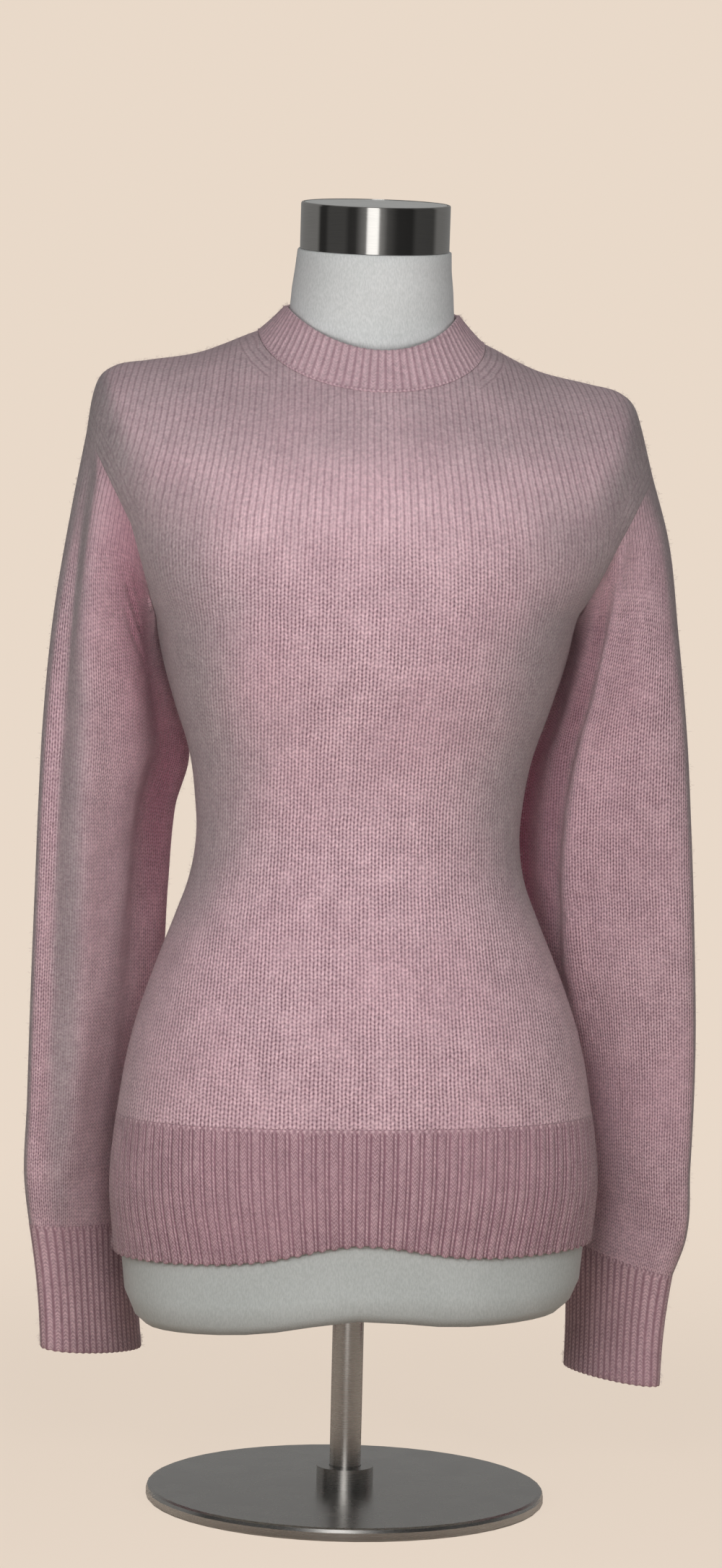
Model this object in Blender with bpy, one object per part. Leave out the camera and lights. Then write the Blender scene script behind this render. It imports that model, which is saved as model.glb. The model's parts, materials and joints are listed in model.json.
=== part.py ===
"""A crewneck sweater on a limbless dress form that stands on a short pole and a round foot.

Metres, +Z up, the sweater's front faces -Y. The origin is the centre of the foot's underside.

The sweater is knitted cloth: every piece is a wall of one thickness. Its outer surface is a grid of
points, and its inner surface is the same grid moved in along the surface's own normals. The grids
share their edge points at each seam, and each edge is then drawn back a little from the seam:

* a panel's rows climb from the hem rib to the bust line, and from there each column goes over the
  shoulder as a quarter of a superellipse, up to the shoulder seam on the ridge or to the neckline;
* a sleeve is a smooth skin over a stack of slanted ovals, from the armhole's loop to the cuff;
* the hem rib, cuffs and neckband carry on from the rows that they are knitted or linked to.

The dress form is a stack of ovals that lies inside the sweater and never touches it.
"""

import math
from typing import NamedTuple

import bmesh
import bpy
import numpy as np

# ---- Cloth
WALL = 0.0028  # thickness of the knit
SEAM_GAP = 0.0003  # what neighbouring pieces leave between them at a seam
SEAM_SHARE = 0.55  # how much of that gap each piece gives up
FRONT, BACK = -1.0, 1.0  # which way along Y a panel lies
LEFT, RIGHT = -1.0, 1.0  # which way along X a sleeve lies

# ---- Levels of the body, at the middle of the front and back
HEM_BOTTOM = 0.182
HEM_RISE = {FRONT: 0.013, BACK: 0.004}  # the hem's edge lifts between the thighs
HEM_RISE_SPREAD = 0.055
HEM_TOP = 0.2745
UNDERARM = 0.6225
BUST_LINE = 0.674
SIDE_Y = 0.002  # the side seams, the underarms and the tips of the shoulders


class BodySection(NamedTuple):
    """One horizontal oval of the sweater's body, measured on the outside of the cloth."""

    height: float
    half_width: float
    front: float
    back: float
    fullness: float  # exponent of the oval: 2 is an ellipse, more is squarer


BODY = (
    BodySection(0.184, 0.1680, 0.100, 0.112, 2.25),
    BodySection(0.225, 0.1713, 0.104, 0.118, 2.30),
    BodySection(0.273, 0.1668, 0.104, 0.117, 2.30),
    BodySection(0.335, 0.1550, 0.101, 0.104, 2.25),
    BodySection(0.371, 0.1428, 0.097, 0.094, 2.20),
    BodySection(0.413, 0.1262, 0.092, 0.081, 2.15),
    BodySection(0.434, 0.1184, 0.089, 0.076, 2.10),
    BodySection(0.467, 0.1132, 0.086, 0.072, 2.10),
    BodySection(0.495, 0.1150, 0.087, 0.073, 2.10),
    BodySection(0.526, 0.1202, 0.094, 0.077, 2.15),
    BodySection(0.558, 0.1312, 0.105, 0.084, 2.20),
    BodySection(0.589, 0.1408, 0.115, 0.091, 2.30),
    BodySection(0.6225, 0.1475, 0.122, 0.097, 2.40),
    BodySection(0.650, 0.1520, 0.124, 0.100, 2.40),
    BodySection(0.680, 0.1540, 0.124, 0.100, 2.40),
)


class Lean(NamedTuple):
    """How the body stands out of true: the height gained for each metre along +X, and a shift along X."""

    height: float
    tilt: float
    shift: float


LEANS = (
    Lean(0.1200, 0.052, 0.0015),
    Lean(0.1350, 0.050, 0.0018),
    Lean(0.1800, 0.040, 0.0018),
    Lean(0.2700, 0.017, 0.0008),
    Lean(0.3500, 0.008, 0.0002),
    Lean(0.4500, 0.000, -0.0012),
    Lean(0.5400, 0.000, 0.0000),
    Lean(0.6200, 0.000, 0.0016),
    Lean(0.7000, -0.010, 0.0008),
    Lean(0.7900, -0.029, 0.0000),
    Lean(0.8300, -0.030, 0.0000),
    Lean(0.8700, 0.000, 0.0004),
    Lean(0.9200, 0.000, 0.0004),
)


class RidgePoint(NamedTuple):
    """The line along the top of a shoulder; share is the column's place from the middle to the armhole."""

    share: float
    left_out: float
    right_out: float
    height: float


RIDGE = (
    RidgePoint(0.00, 0.0000, 0.0000, 0.8420),
    RidgePoint(0.38, 0.0790, 0.0790, 0.8160),
    RidgePoint(0.55, 0.1190, 0.1170, 0.7990),
    RidgePoint(0.71, 0.1550, 0.1530, 0.7915),
    RidgePoint(0.80, 0.1765, 0.1735, 0.7870),
    RidgePoint(0.87, 0.1880, 0.1840, 0.7785),
    RidgePoint(0.93, 0.1930, 0.1890, 0.7650),
)
RIDGE_BACKSET = 0.010  # how far behind the shoulder's tip the ridge lies at the neck
NECK_SHARE = RIDGE[1].share  # the column where the neckline meets the shoulder seam


class Armhole(NamedTuple):
    """The loop where a sleeve is set in, seen from the front as a line from the underarm to its top."""

    side: float
    top_out: float
    top_height: float
    underarm_out: float
    underarm_height: float
    bow: float  # how far the loop's front and back lie inwards of that line


ARMHOLES = (
    Armhole(LEFT, 0.1968, 0.7413, 0.1480, 0.6195, 0.0070),
    Armhole(RIGHT, 0.1978, 0.7282, 0.1470, 0.6250, 0.0020),
)
ARMHOLE_DEPTH = {FRONT: 0.054, BACK: 0.056}

# ---- Rows and columns of a panel
LOW_TURN, BUST_TURN = 90.0, 62.0  # degrees a row turns through from its middle to its edge
BUST_FLATNESS, BUST_EDGE = 2.6, 1.30  # shape of the bust line: flat front, open angle at the armhole
SHOULDER_ROUND = {FRONT: (1.68, 2.0), BACK: (2.40, 2.0)}  # superellipse at the middle and at the armhole
OPENING_STARTS, EDGE_HUG = 0.45, 9  # the sides flatten below the underarm, all but their very edge
NECKLINE_HEIGHT = {FRONT: 0.774, BACK: 0.8150}

ROWS_BODY, ROWS_UNDERARM, ROWS_SHOULDER, ROWS_HEM = 9, 5, 6, 3
COLUMNS_NECK, COLUMNS_SHOULDER = 6, 6
ROWS_CUFF, ROWS_NECKBAND = 4, 3
CUT_SLOPE, CUT_LEAST, CUT_MOST = 0.55, 0.4, 3.0  # how a column's rows close up towards the neckline

# ---- Neckband
NECKBAND_WIDTH, NECKBAND_FRONT, NECKBAND_BACK = 0.0627, 0.0660, 0.0630  # its top edge, from the neck's axis
NECKBAND_AXIS_X = 0.0015
NECKBAND_TOP = {"front": 0.8030, "side": 0.8335, "back": 0.8460}
NECKBAND_BULGE = -0.0004
NECKBAND_DIP = 1.6  # how late its top edge drops from the sides to the front and back
NECKBAND_GAP = 0.0012  # it turns sharply away from the panels, so it keeps further back


class Oval(NamedTuple):
    """One cross-section of a sleeve: the two ends of the oval, and how it lies from front to back."""

    outer_out: float
    outer_height: float
    inner_out: float
    inner_height: float
    middle_y: float
    slant: float  # how much further back the inner end lies than the outer one
    depth: float  # half the oval's size along Y


SLEEVES = {
    LEFT: (
        Oval(0.2062, 0.6900, 0.1440, 0.6000, 0.014, 0.030, 0.054),
        Oval(0.2174, 0.6130, 0.1260, 0.5560, 0.020, 0.052, 0.050),
        Oval(0.2230, 0.5400, 0.1185, 0.5160, 0.028, 0.066, 0.045),
        Oval(0.2248, 0.4900, 0.1272, 0.4820, 0.033, 0.070, 0.042),
        Oval(0.2262, 0.4315, 0.1315, 0.4260, 0.040, 0.074, 0.040),
        Oval(0.2280, 0.3560, 0.1345, 0.3520, 0.052, 0.078, 0.038),
        Oval(0.2293, 0.2750, 0.1430, 0.2720, 0.062, 0.080, 0.036),
        Oval(0.2300, 0.2150, 0.1475, 0.2120, 0.065, 0.076, 0.034),
        Oval(0.2262, 0.1870, 0.1500, 0.1825, 0.063, 0.068, 0.030),
    ),
    RIGHT: (
        Oval(0.2100, 0.6830, 0.1455, 0.6050, 0.013, 0.028, 0.054),
        Oval(0.2190, 0.6150, 0.1280, 0.5560, 0.020, 0.052, 0.051),
        Oval(0.2275, 0.5420, 0.1120, 0.5160, 0.030, 0.070, 0.047),
        Oval(0.2325, 0.4800, 0.1060, 0.4700, 0.036, 0.076, 0.043),
        Oval(0.2380, 0.4000, 0.1130, 0.3950, 0.046, 0.082, 0.041),
        Oval(0.2425, 0.3150, 0.1320, 0.3110, 0.060, 0.086, 0.038),
        Oval(0.2420, 0.2350, 0.1450, 0.2340, 0.066, 0.084, 0.037),
        Oval(0.2405, 0.1800, 0.1540, 0.1930, 0.066, 0.072, 0.034),
        Oval(0.2325, 0.1560, 0.1600, 0.1745, 0.063, 0.060, 0.031),
    ),
}
CUFF_ENDS = {
    LEFT: Oval(0.2165, 0.1000, 0.1450, 0.0905, 0.058, 0.058, 0.027),
    RIGHT: Oval(0.2255, 0.0780, 0.1615, 0.0820, 0.058, 0.050, 0.028),
}
CUFF_NIP = 0.0015  # the cuff draws in a little just below the sleeve


class Fold(NamedTuple):
    """A long fold down a sleeve."""

    side: float
    angle: float  # degrees, from the outer side (0) over the front (90) to the inner side
    spread: float  # degrees
    height: float  # outwards where positive
    step: bool  # a step rather than a ridge or a trough
    start: float  # share of the sleeve's length
    end: float


FOLDS = (
    Fold(LEFT, 66, 24, 0.0060, True, 0.10, 0.97),
    Fold(LEFT, 132, 18, -0.0050, False, 0.20, 0.80),
    Fold(LEFT, 262, 30, -0.0050, False, 0.15, 0.75),
    Fold(RIGHT, 106, 17, -0.0070, False, 0.02, 0.62),
    Fold(RIGHT, 58, 26, -0.0025, False, 0.35, 0.95),
    Fold(RIGHT, 250, 28, -0.0050, False, 0.10, 0.70),
)

STEP_PEAK = 2.33  # brings the step's slope, n exp(-n^2), to a height of 1
FOLD_FADE = 0.7  # how slowly a fold fades towards its ends

# ---- Dress form
FORM_EASE = 0.0019  # gap between the cloth's inside and the form, from the hem to the underarm


class FormSection(NamedTuple):
    """One horizontal oval of the dress form."""

    height: float
    half_width: float
    front: float
    back: float
    fullness: float


FORM_LOWER = (
    FormSection(0.1300, 0.1260, 0.076, 0.086, 2.30),
    FormSection(0.1320, 0.1455, 0.089, 0.099, 2.45),
    FormSection(0.1395, 0.1535, 0.0960, 0.108, 2.50),
    FormSection(0.1540, 0.1600, 0.0965, 0.107, 2.40),
    FormSection(0.1740, 0.1620, 0.0945, 0.105, 2.30),
)
FORM_UPPER = (
    FormSection(0.6450, 0.1470, 0.1180, 0.0940, 2.40),
    FormSection(0.6600, 0.1540, 0.1192, 0.0955, 2.40),
    FormSection(0.6750, 0.1600, 0.1190, 0.0955, 2.40),
    FormSection(0.6900, 0.1660, 0.1172, 0.0955, 2.40),
    FormSection(0.7050, 0.1710, 0.1140, 0.0945, 2.30),
    FormSection(0.7200, 0.1760, 0.1090, 0.0930, 2.15),
    FormSection(0.7350, 0.1795, 0.1025, 0.0910, 1.95),
    FormSection(0.7500, 0.1815, 0.0950, 0.0885, 1.75),
    FormSection(0.7600, 0.1815, 0.0893, 0.0860, 1.60),
    FormSection(0.7680, 0.1805, 0.0840, 0.0840, 1.48),
    FormSection(0.7750, 0.1780, 0.0780, 0.0815, 1.33),
    FormSection(0.7810, 0.1710, 0.0725, 0.0790, 1.22),
    FormSection(0.7860, 0.1560, 0.0695, 0.0765, 1.18),
    FormSection(0.7910, 0.1260, 0.0650, 0.0730, 1.18),
    FormSection(0.7970, 0.1055, 0.0610, 0.0690, 1.28),
    FormSection(0.8050, 0.0825, 0.0575, 0.0640, 1.50),
    FormSection(0.8150, 0.0650, 0.0552, 0.0595, 2.00),
    FormSection(0.8250, 0.0585, 0.0554, 0.0565, 2.00),
    FormSection(0.8350, 0.0572, 0.0576, 0.0540, 2.00),
    FormSection(0.8480, 0.0563, 0.0592, 0.0510, 2.00),
    FormSection(0.8620, 0.0546, 0.0600, 0.0485, 2.00),
)
FORM_LOW_LEVELS = (0.200, 0.237)
FORM_COLUMNS = 40


class Rise(NamedTuple):
    """How far the form's lower edge lifts between the thighs."""

    height: float
    rise: float


THIGH_GAP = (Rise(0.1300, 0.0085), Rise(0.1395, 0.0085), Rise(0.1540, 0.005), Rise(0.1740, 0.0))
THIGH_GAP_SPREAD = 0.050
FORM_SEAT, FORM_SEAT_RADIUS = 0.1400, 0.036  # flat place in the middle of the underside

# ---- Neck cap: a steel band and the plate in its top, leaning forward with the neck
CAP_LEAN = 8.0  # degrees
CAP_CENTRE = (0.0004, -0.0075, 0.8755)  # middle of the band's lower face
NECK_TOP_RADIUS, NECK_TOP_BEVEL = 0.0535, 0.0007
CAP_RADIUS, CAP_HEIGHT = 0.0519, 0.0320
CAP_BEVEL = 0.0012
ROUND_CORNER = 0.3  # where the middle point of a rounded corner lies, as a share of the bevel
PLATE_RADIUS, PLATE_THICKNESS, PLATE_SINK = 0.0495, 0.0030, 0.0003

# ---- Stand
FOOT_RADIUS, FOOT_THICKNESS, FOOT_BEVEL, FOOT_UNDER_BEVEL = 0.140, 0.009, 0.003, 0.0012
BOSS_RADIUS, BOSS_HEIGHT = 0.020, 0.014
POLE_RADIUS, POLE_CLEARANCE = 0.0110, 0.0003
FLANGE_RADIUS, FLANGE_THICKNESS = 0.030, 0.004
TURNED_SIDES = 48
SHARP = math.radians(45)  # edges that turn more than this stay crisp

# ---- Materials: base colour, roughness, metallic
PINK_KNIT = ("pink_knit", (0.44, 0.27, 0.30), 0.95, 0.0)
PINK_RIB = ("pink_rib", (0.40, 0.24, 0.27), 0.95, 0.0)
JERSEY = ("form_jersey", (0.62, 0.63, 0.61), 0.9, 0.0)
STEEL = ("brushed_steel", (0.42, 0.41, 0.39), 0.28, 1.0)
PALE_PLATE = ("pale_plate", (0.50, 0.50, 0.47), 0.5, 0.0)


# ---- Curves through tables


def through(keys, values, at):
    """A smooth curve (cubic Hermite, central slopes) through values at uneven keys."""
    keys, values, at = np.asarray(keys, float), np.asarray(values, float), np.asarray(at, float)
    slopes = np.gradient(values, keys, axis=0)
    left = np.clip(np.searchsorted(keys, at, side="right") - 1, 0, len(keys) - 2)
    span = keys[left + 1] - keys[left]
    u = (at - keys[left]) / span
    extra = (1,) * (values.ndim - 1)
    u, span = u.reshape(u.shape + extra), span.reshape(span.shape + extra)
    return (
        (2 * u**3 - 3 * u**2 + 1) * values[left]
        + (u**3 - 2 * u**2 + u) * span * slopes[left]
        + (3 * u**2 - 2 * u**3) * values[left + 1]
        + (u**3 - u**2) * span * slopes[left + 1]
    )


def column_of(table, name, at):
    """One named column of a table whose first column is the key."""
    return through([row[0] for row in table], [getattr(row, name) for row in table], at)


def leaned(points):
    """The body's slight lean and shift, applied to upright points."""
    points = np.array(points, float)
    level = np.clip(points[..., 2], LEANS[0].height, LEANS[-1].height)
    points[..., 2] += column_of(LEANS, "tilt", level) * points[..., 0]
    points[..., 0] += column_of(LEANS, "shift", level)
    return points


# ---- The body's surface


def smooth_step(share):
    """From 0 to 1 with level ends."""
    share = np.clip(share, 0, 1)
    return share * share * (3 - 2 * share)


def armhole_middle(hole, face):
    """The loop's point halfway up its front or back, before the tilt."""
    return (
        (hole.top_out + hole.underarm_out) / 2 - hole.bow,
        SIDE_Y + face * ARMHOLE_DEPTH[face],
        (hole.top_height + hole.underarm_height) / 2,
    )


def armhole_edge(hole, face, climb):
    """Points of the loop: climb runs from 1 at the underarm, over 2 halfway, to 3 at its top."""
    out, y, height = armhole_middle(hole, face)
    low = np.radians(90 * (np.clip(climb, 1, 2) - 1))
    high = np.radians(90 * (np.clip(climb, 2, 3) - 2))
    share_low, share_high = 1 - np.cos(low), np.sin(high)
    x = hole.underarm_out + (out - hole.underarm_out) * share_low + (hole.top_out - out) * share_high
    z = hole.underarm_height + (height - hole.underarm_height) * share_low
    z = z + (hole.top_height - height) * share_high
    return x, SIDE_Y + (y - SIDE_Y) * np.sin(low) * np.cos(high), z


def body_edge(hole, face, climb):
    """The panel's outer edge: the side seam up to the underarm, then the armhole."""
    x, y, z = armhole_edge(hole, face, climb)
    seam = HEM_TOP + (hole.underarm_height - HEM_TOP) * np.clip(climb, None, 1)
    width = column_of(BODY, "half_width", np.clip(seam, BODY[0].height, None))
    match = hole.underarm_out - column_of(BODY, "half_width", np.array(hole.underarm_height))
    low = climb <= 1
    return (
        np.where(low, width + match * np.clip(climb, 0, 1) ** 4, x),
        np.where(low, SIDE_Y, y),
        np.where(low, seam, z),
    )


def ridge(hole, share):
    """A shoulder's ridge line from the middle of the neck to the armhole's top."""
    keys = [point.share for point in RIDGE] + [1.0]
    column = "left_out" if hole.side == LEFT else "right_out"
    outs = [getattr(point, column) for point in RIDGE] + [hole.top_out]
    heights = [point.height for point in RIDGE] + [hole.top_height]
    behind = SIDE_Y + RIDGE_BACKSET * (1 - share**2)
    return through(keys, outs, share), behind, through(keys, heights, share)


def hem_bottom(face, x):
    """Height of the hem's lower edge at a distance from the middle."""
    return HEM_BOTTOM + HEM_RISE[face] * np.exp(-((x / HEM_RISE_SPREAD) ** 2))


def upright_half(hole, face, share, climb):
    """The outer surface on one side of the middle, before the body's lean.

    share is 0 at the middle and 1 at the edge. climb is -1 at the hem's lower edge, 0 at the top of the
    rib, 1 at the underarm, 2 at the bust line and 3 at the shoulder seam. A row below the bust line is
    y = y_edge + (y_middle - y_edge) (1 - xi^m)^(1/q), with xi from 0 to 1 across it. Above the bust line
    each column is a quarter superellipse from the bust line A to the ridge B.
    """
    low = np.clip(climb, -1, 2)
    middle_z = HEM_TOP + (UNDERARM - HEM_TOP) * np.clip(low, -1, 1) * (low > 0)
    middle_z = middle_z + (BUST_LINE - UNDERARM) * np.clip(low - 1, 0, 1)
    edge_x, edge_y, edge_z = body_edge(hole, face, np.clip(low, 0, 2))
    blend = np.clip(low - 1, 0, 1)
    turn = np.radians(LOW_TURN + (BUST_TURN - LOW_TURN) * blend)
    across = np.sin(turn * share) / np.sin(turn)
    drop = np.clip(-low, 0, 1) * (HEM_TOP - hem_bottom(face, edge_x * across))
    level = np.clip(middle_z - drop, BODY[0].height, None)
    edge_x = np.where(low < 0, column_of(BODY, "half_width", level), edge_x)
    fullness = column_of(BODY, "fullness", level)
    flat = fullness + (BUST_FLATNESS - fullness) * blend
    edge = fullness + (BUST_EDGE - fullness) * blend
    bulge = (1 - across**flat) ** (1 / edge)
    depth = face * column_of(BODY, "front" if face == FRONT else "back", level)
    x = edge_x * across
    opening = smooth_step((low - OPENING_STARTS) / (2 - OPENING_STARTS))
    early_y = SIDE_Y + (armhole_middle(hole, face)[1] - SIDE_Y) * opening
    hug = across**EDGE_HUG
    y = depth * bulge + (edge_y * hug + early_y * (1 - hug)) * (1 - bulge)
    z = edge_z + (middle_z - edge_z) * (1 - across**2) - drop

    top_x, top_y, top_z = ridge(hole, share)
    middle_round, edge_round = SHOULDER_ROUND[face]
    power = 2 / (middle_round + (edge_round - middle_round) * share**3)
    arch = np.radians(90 * np.clip(climb - 2, 0, 1))
    rise, reach = np.sin(arch) ** power, np.cos(arch) ** power
    x = x + (top_x - x) * rise
    z = z + (top_z - z) * rise
    y = top_y + (y - top_y) * reach
    return np.stack([hole.side * x, y, z], axis=-1)


def neckline_climb(hole, face, share):
    """Where each column ends: 3 at the shoulder seam, less where the neckline cuts across it."""
    out, height = RIDGE[1].left_out, RIDGE[1].height

    def above(climb):
        point = upright_half(hole, face, share, climb)
        reach = np.clip(np.abs(point[..., 0]) / out, 0, 1)
        line = NECKLINE_HEIGHT[face] + (height - NECKLINE_HEIGHT[face]) * (1 - np.sqrt(1 - reach**2))
        return point[..., 2] > line

    low, high = np.full(share.shape, 2.0), np.full(share.shape, 3.0)
    for _ in range(30):
        middle = (low + high) / 2
        over = above(middle)
        low, high = np.where(over, low, middle), np.where(over, middle, high)
    return np.where(share >= NECK_SHARE, 3.0, high)


def column_shares():
    """Columns from the middle to the edge: bunched towards the neckline's end, then even."""
    neck = NECK_SHARE * np.sin(np.radians(90 * np.arange(COLUMNS_NECK) / COLUMNS_NECK))
    return np.concatenate([neck, np.linspace(NECK_SHARE, 1, COLUMNS_SHOULDER + 1)])


def cut_short(rise, top):
    """Ends a column's rise, 0 to 1, at top: the rows near the neckline bend most."""
    bend = np.clip(CUT_SLOPE * top / (1 - top + 1e-9), CUT_LEAST, CUT_MOST)
    return rise * (1 - (1 - top) * np.clip(rise, 0, 1) ** bend)


def panel_rows(face, climbs, stretch):
    """A grid of rows from the left edge to the right one; stretch ends each column at its neckline."""
    shares = column_shares()
    halves = []
    for hole in ARMHOLES:
        tops = neckline_climb(hole, face, shares) if stretch else np.full(shares.shape, 3.0)
        climb = np.where(climbs[:, None] > 2, 2 + cut_short(climbs[:, None] - 2, tops - 2), climbs[:, None])
        halves.append(leaned(upright_half(hole, face, np.broadcast_to(shares, climb.shape), climb)))
    left, right = halves
    return np.concatenate([left[:, ::-1], right[:, 1:]], axis=1)


def panel_climbs():
    """The climb of each row of a panel, from the hem rib to the shoulder seam."""
    return np.concatenate(
        [
            np.linspace(0, 1, ROWS_BODY + 1),
            np.linspace(1, 2, ROWS_UNDERARM + 1)[1:],
            np.linspace(2, 3, ROWS_SHOULDER + 1)[1:],
        ]
    )


# ---- Sleeves


def oval_ring(side, oval, angles):
    """Points round one oval: 0 is its outer end, 90 its front."""
    cos, sin = np.cos(angles), np.sin(angles)
    half = (oval.outer_out - oval.inner_out) / 2
    x = (oval.outer_out + oval.inner_out) / 2 + half * cos
    y = oval.middle_y - oval.slant / 2 * cos - oval.depth * sin
    z = (oval.outer_height + oval.inner_height) / 2 + (oval.outer_height - oval.inner_height) / 2 * cos
    return np.stack([side * x, y, z], axis=-1)


def loop_angles(count):
    """Even angles round a closed loop, in radians."""
    return 2 * np.pi * np.arange(count) / count


def fold_heights(side, angles, along):
    """How far the folds move each point of a sleeve along its normal."""
    total = np.zeros((len(along), len(angles)))
    for fold in FOLDS:
        if fold.side != side:
            continue
        away = (np.degrees(angles)[None, :] - fold.angle + 180) % 360 - 180
        near = away / fold.spread
        shape = np.exp(-(near**2)) * (STEP_PEAK * near if fold.step else 1.0)
        share = np.clip((along - fold.start) / (fold.end - fold.start), 0, 1)
        total += fold.height * shape * np.sin(np.pi * share)[:, None] ** FOLD_FADE
    return total


def sleeve_grid(hole, loop):
    """Rings from the armhole's loop down to the cuff: one at each oval of the table, and one between."""
    angles = loop_angles(len(loop))
    rings = [loop] + [oval_ring(hole.side, oval, angles) for oval in SLEEVES[hole.side]]
    stack = np.array(rings)
    middles = stack.mean(axis=1)
    lengths = np.concatenate([[0], np.cumsum(np.linalg.norm(np.diff(middles, axis=0), axis=1))])
    lengths = lengths / lengths[-1]
    along = np.sort(np.concatenate([lengths, (lengths[1:] + lengths[:-1]) / 2]))
    grid = through(lengths, stack, along)
    lift = fold_heights(hole.side, angles, along)
    return grid + lift[..., None] * normals(grid, True, hole.side)


def cuff_grid(hole, ring):
    """The cuff: from the sleeve's last ring to the cuff's own lower oval, drawn in near the top."""
    angles = loop_angles(len(ring))
    end = oval_ring(hole.side, CUFF_ENDS[hole.side], angles)
    along = np.linspace(0, 1, ROWS_CUFF + 1)[:, None, None]
    grid = ring + (end - ring) * along
    nip = CUFF_NIP * np.sin(np.pi * along[..., 0]) * np.ones(len(angles))
    return grid - nip[..., None] * normals(grid, True, hole.side)


# ---- Neckband


def neckband_grid(neckline):
    """The neckband: from the neckline up and in to its top edge round the neck."""
    count = len(neckline)
    angles = loop_angles(count)  # 0 at the front, 90 at the right side
    cos, sin = np.cos(angles), np.sin(angles)
    reach = np.where(cos > 0, NECKBAND_FRONT, NECKBAND_BACK)
    ends = np.where(cos > 0, NECKBAND_TOP["front"], NECKBAND_TOP["back"])
    z = NECKBAND_TOP["side"] + (ends - NECKBAND_TOP["side"]) * np.abs(cos) ** NECKBAND_DIP
    top = leaned(np.stack([NECKBAND_AXIS_X + NECKBAND_WIDTH * sin, -reach * cos, z], axis=-1))
    along = np.linspace(0, 1, ROWS_NECKBAND + 1)[:, None, None]
    grid = neckline + (top - neckline) * along
    bulge = NECKBAND_BULGE * np.sin(np.pi * along[..., 0]) * np.ones(count)
    return grid + bulge[..., None] * normals(grid, True, 1.0)


# ---- From grids to walls


def normals(grid, closed, sign):
    """Unit normals of a grid of points, from its rows' and columns' directions."""
    if closed:
        across = np.roll(grid, -1, axis=1) - np.roll(grid, 1, axis=1)
    else:
        across = np.gradient(grid, axis=1)
    up = np.gradient(grid, axis=0)
    normal = np.cross(across, up) * sign
    return normal / np.linalg.norm(normal, axis=-1, keepdims=True)


def drawn_back(grid, inward, gap):
    """The grid with its edges moved into the piece by its share of the seam's gap."""
    grid = grid.copy()
    for edge, neighbour in inward:
        step = grid[neighbour] - grid[edge]
        step = step / np.linalg.norm(step, axis=-1, keepdims=True)
        grid[edge] = grid[edge] + step * gap * SEAM_SHARE
    return grid


FIRST_ROW, LAST_ROW = (np.s_[0], np.s_[1]), (np.s_[-1], np.s_[-2])
FIRST_COLUMN, LAST_COLUMN = (np.s_[:, 0], np.s_[:, 1]), (np.s_[:, -1], np.s_[:, -2])


def wall_object(name, outer, inner, closed, look, edges, gap=SEAM_GAP):
    """A solid between two grids of the same shape, open in the middle where the rows are closed."""
    outer, inner = drawn_back(outer, edges, gap), drawn_back(inner, edges, gap)
    rows, columns = outer.shape[:2]
    index = np.arange(rows * columns).reshape(rows, columns)
    if closed:
        index = np.concatenate([index, index[:, :1]], axis=1)
    far = index + rows * columns
    faces = [grid_faces(index), grid_faces(far)[:, ::-1]]
    faces.append(strip_faces(index[0], far[0])[:, ::-1])
    faces.append(strip_faces(index[-1], far[-1]))
    if not closed:
        faces.append(strip_faces(index[:, 0], far[:, 0]))
        faces.append(strip_faces(index[:, -1], far[:, -1])[:, ::-1])
    points = np.concatenate([outer.reshape(-1, 3), inner.reshape(-1, 3)])
    return mesh_object(name, points, split_short(points, np.concatenate(faces)), look)


def grid_faces(index):
    """The quads of a grid of point numbers."""
    corners = [index[:-1, :-1], index[:-1, 1:], index[1:, 1:], index[1:, :-1]]
    return np.stack(corners, axis=-1).reshape(-1, 4)


def split_short(points, quads):
    """Each quad as two triangles, split along its shorter diagonal."""
    a, b, c, d = quads.T
    first = np.linalg.norm(points[a] - points[c], axis=1) <= np.linalg.norm(points[b] - points[d], axis=1)
    one = np.where(first, [a, b, c], [a, b, d])
    two = np.where(first, [a, c, d], [b, c, d])
    return np.concatenate([one.T, two.T])


def strip_faces(first, second):
    """The quads between two rows of point numbers."""
    return np.stack([first[:-1], first[1:], second[1:], second[:-1]], axis=-1)


def mesh_object(name, points, faces, look):
    """A mesh object with its faces turned outwards and one material."""
    mesh = bpy.data.meshes.new(name)
    mesh.from_pydata([tuple(p) for p in points], [], [tuple(int(i) for i in f) for f in faces])
    work = bmesh.new()
    work.from_mesh(mesh)
    bmesh.ops.recalc_face_normals(work, faces=work.faces)
    work.to_mesh(mesh)
    work.free()
    mesh.shade_smooth()
    mesh.set_sharp_from_angle(angle=SHARP)
    mesh.materials.append(material(*look))
    made = bpy.data.objects.new(name, mesh)
    bpy.context.scene.collection.objects.link(made)
    return made


def material(name, colour, roughness, metallic):
    """The material of that name, made once."""
    found = bpy.data.materials.get(name)
    if found:
        return found
    made = bpy.data.materials.new(name)
    made.use_nodes = True
    shader = made.node_tree.nodes["Principled BSDF"]
    shader.inputs["Base Color"].default_value = (*colour, 1)
    shader.inputs["Roughness"].default_value = roughness
    shader.inputs["Metallic"].default_value = metallic
    made.diffuse_color = (*colour, 1)
    return made


# ---- The sweater


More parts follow.
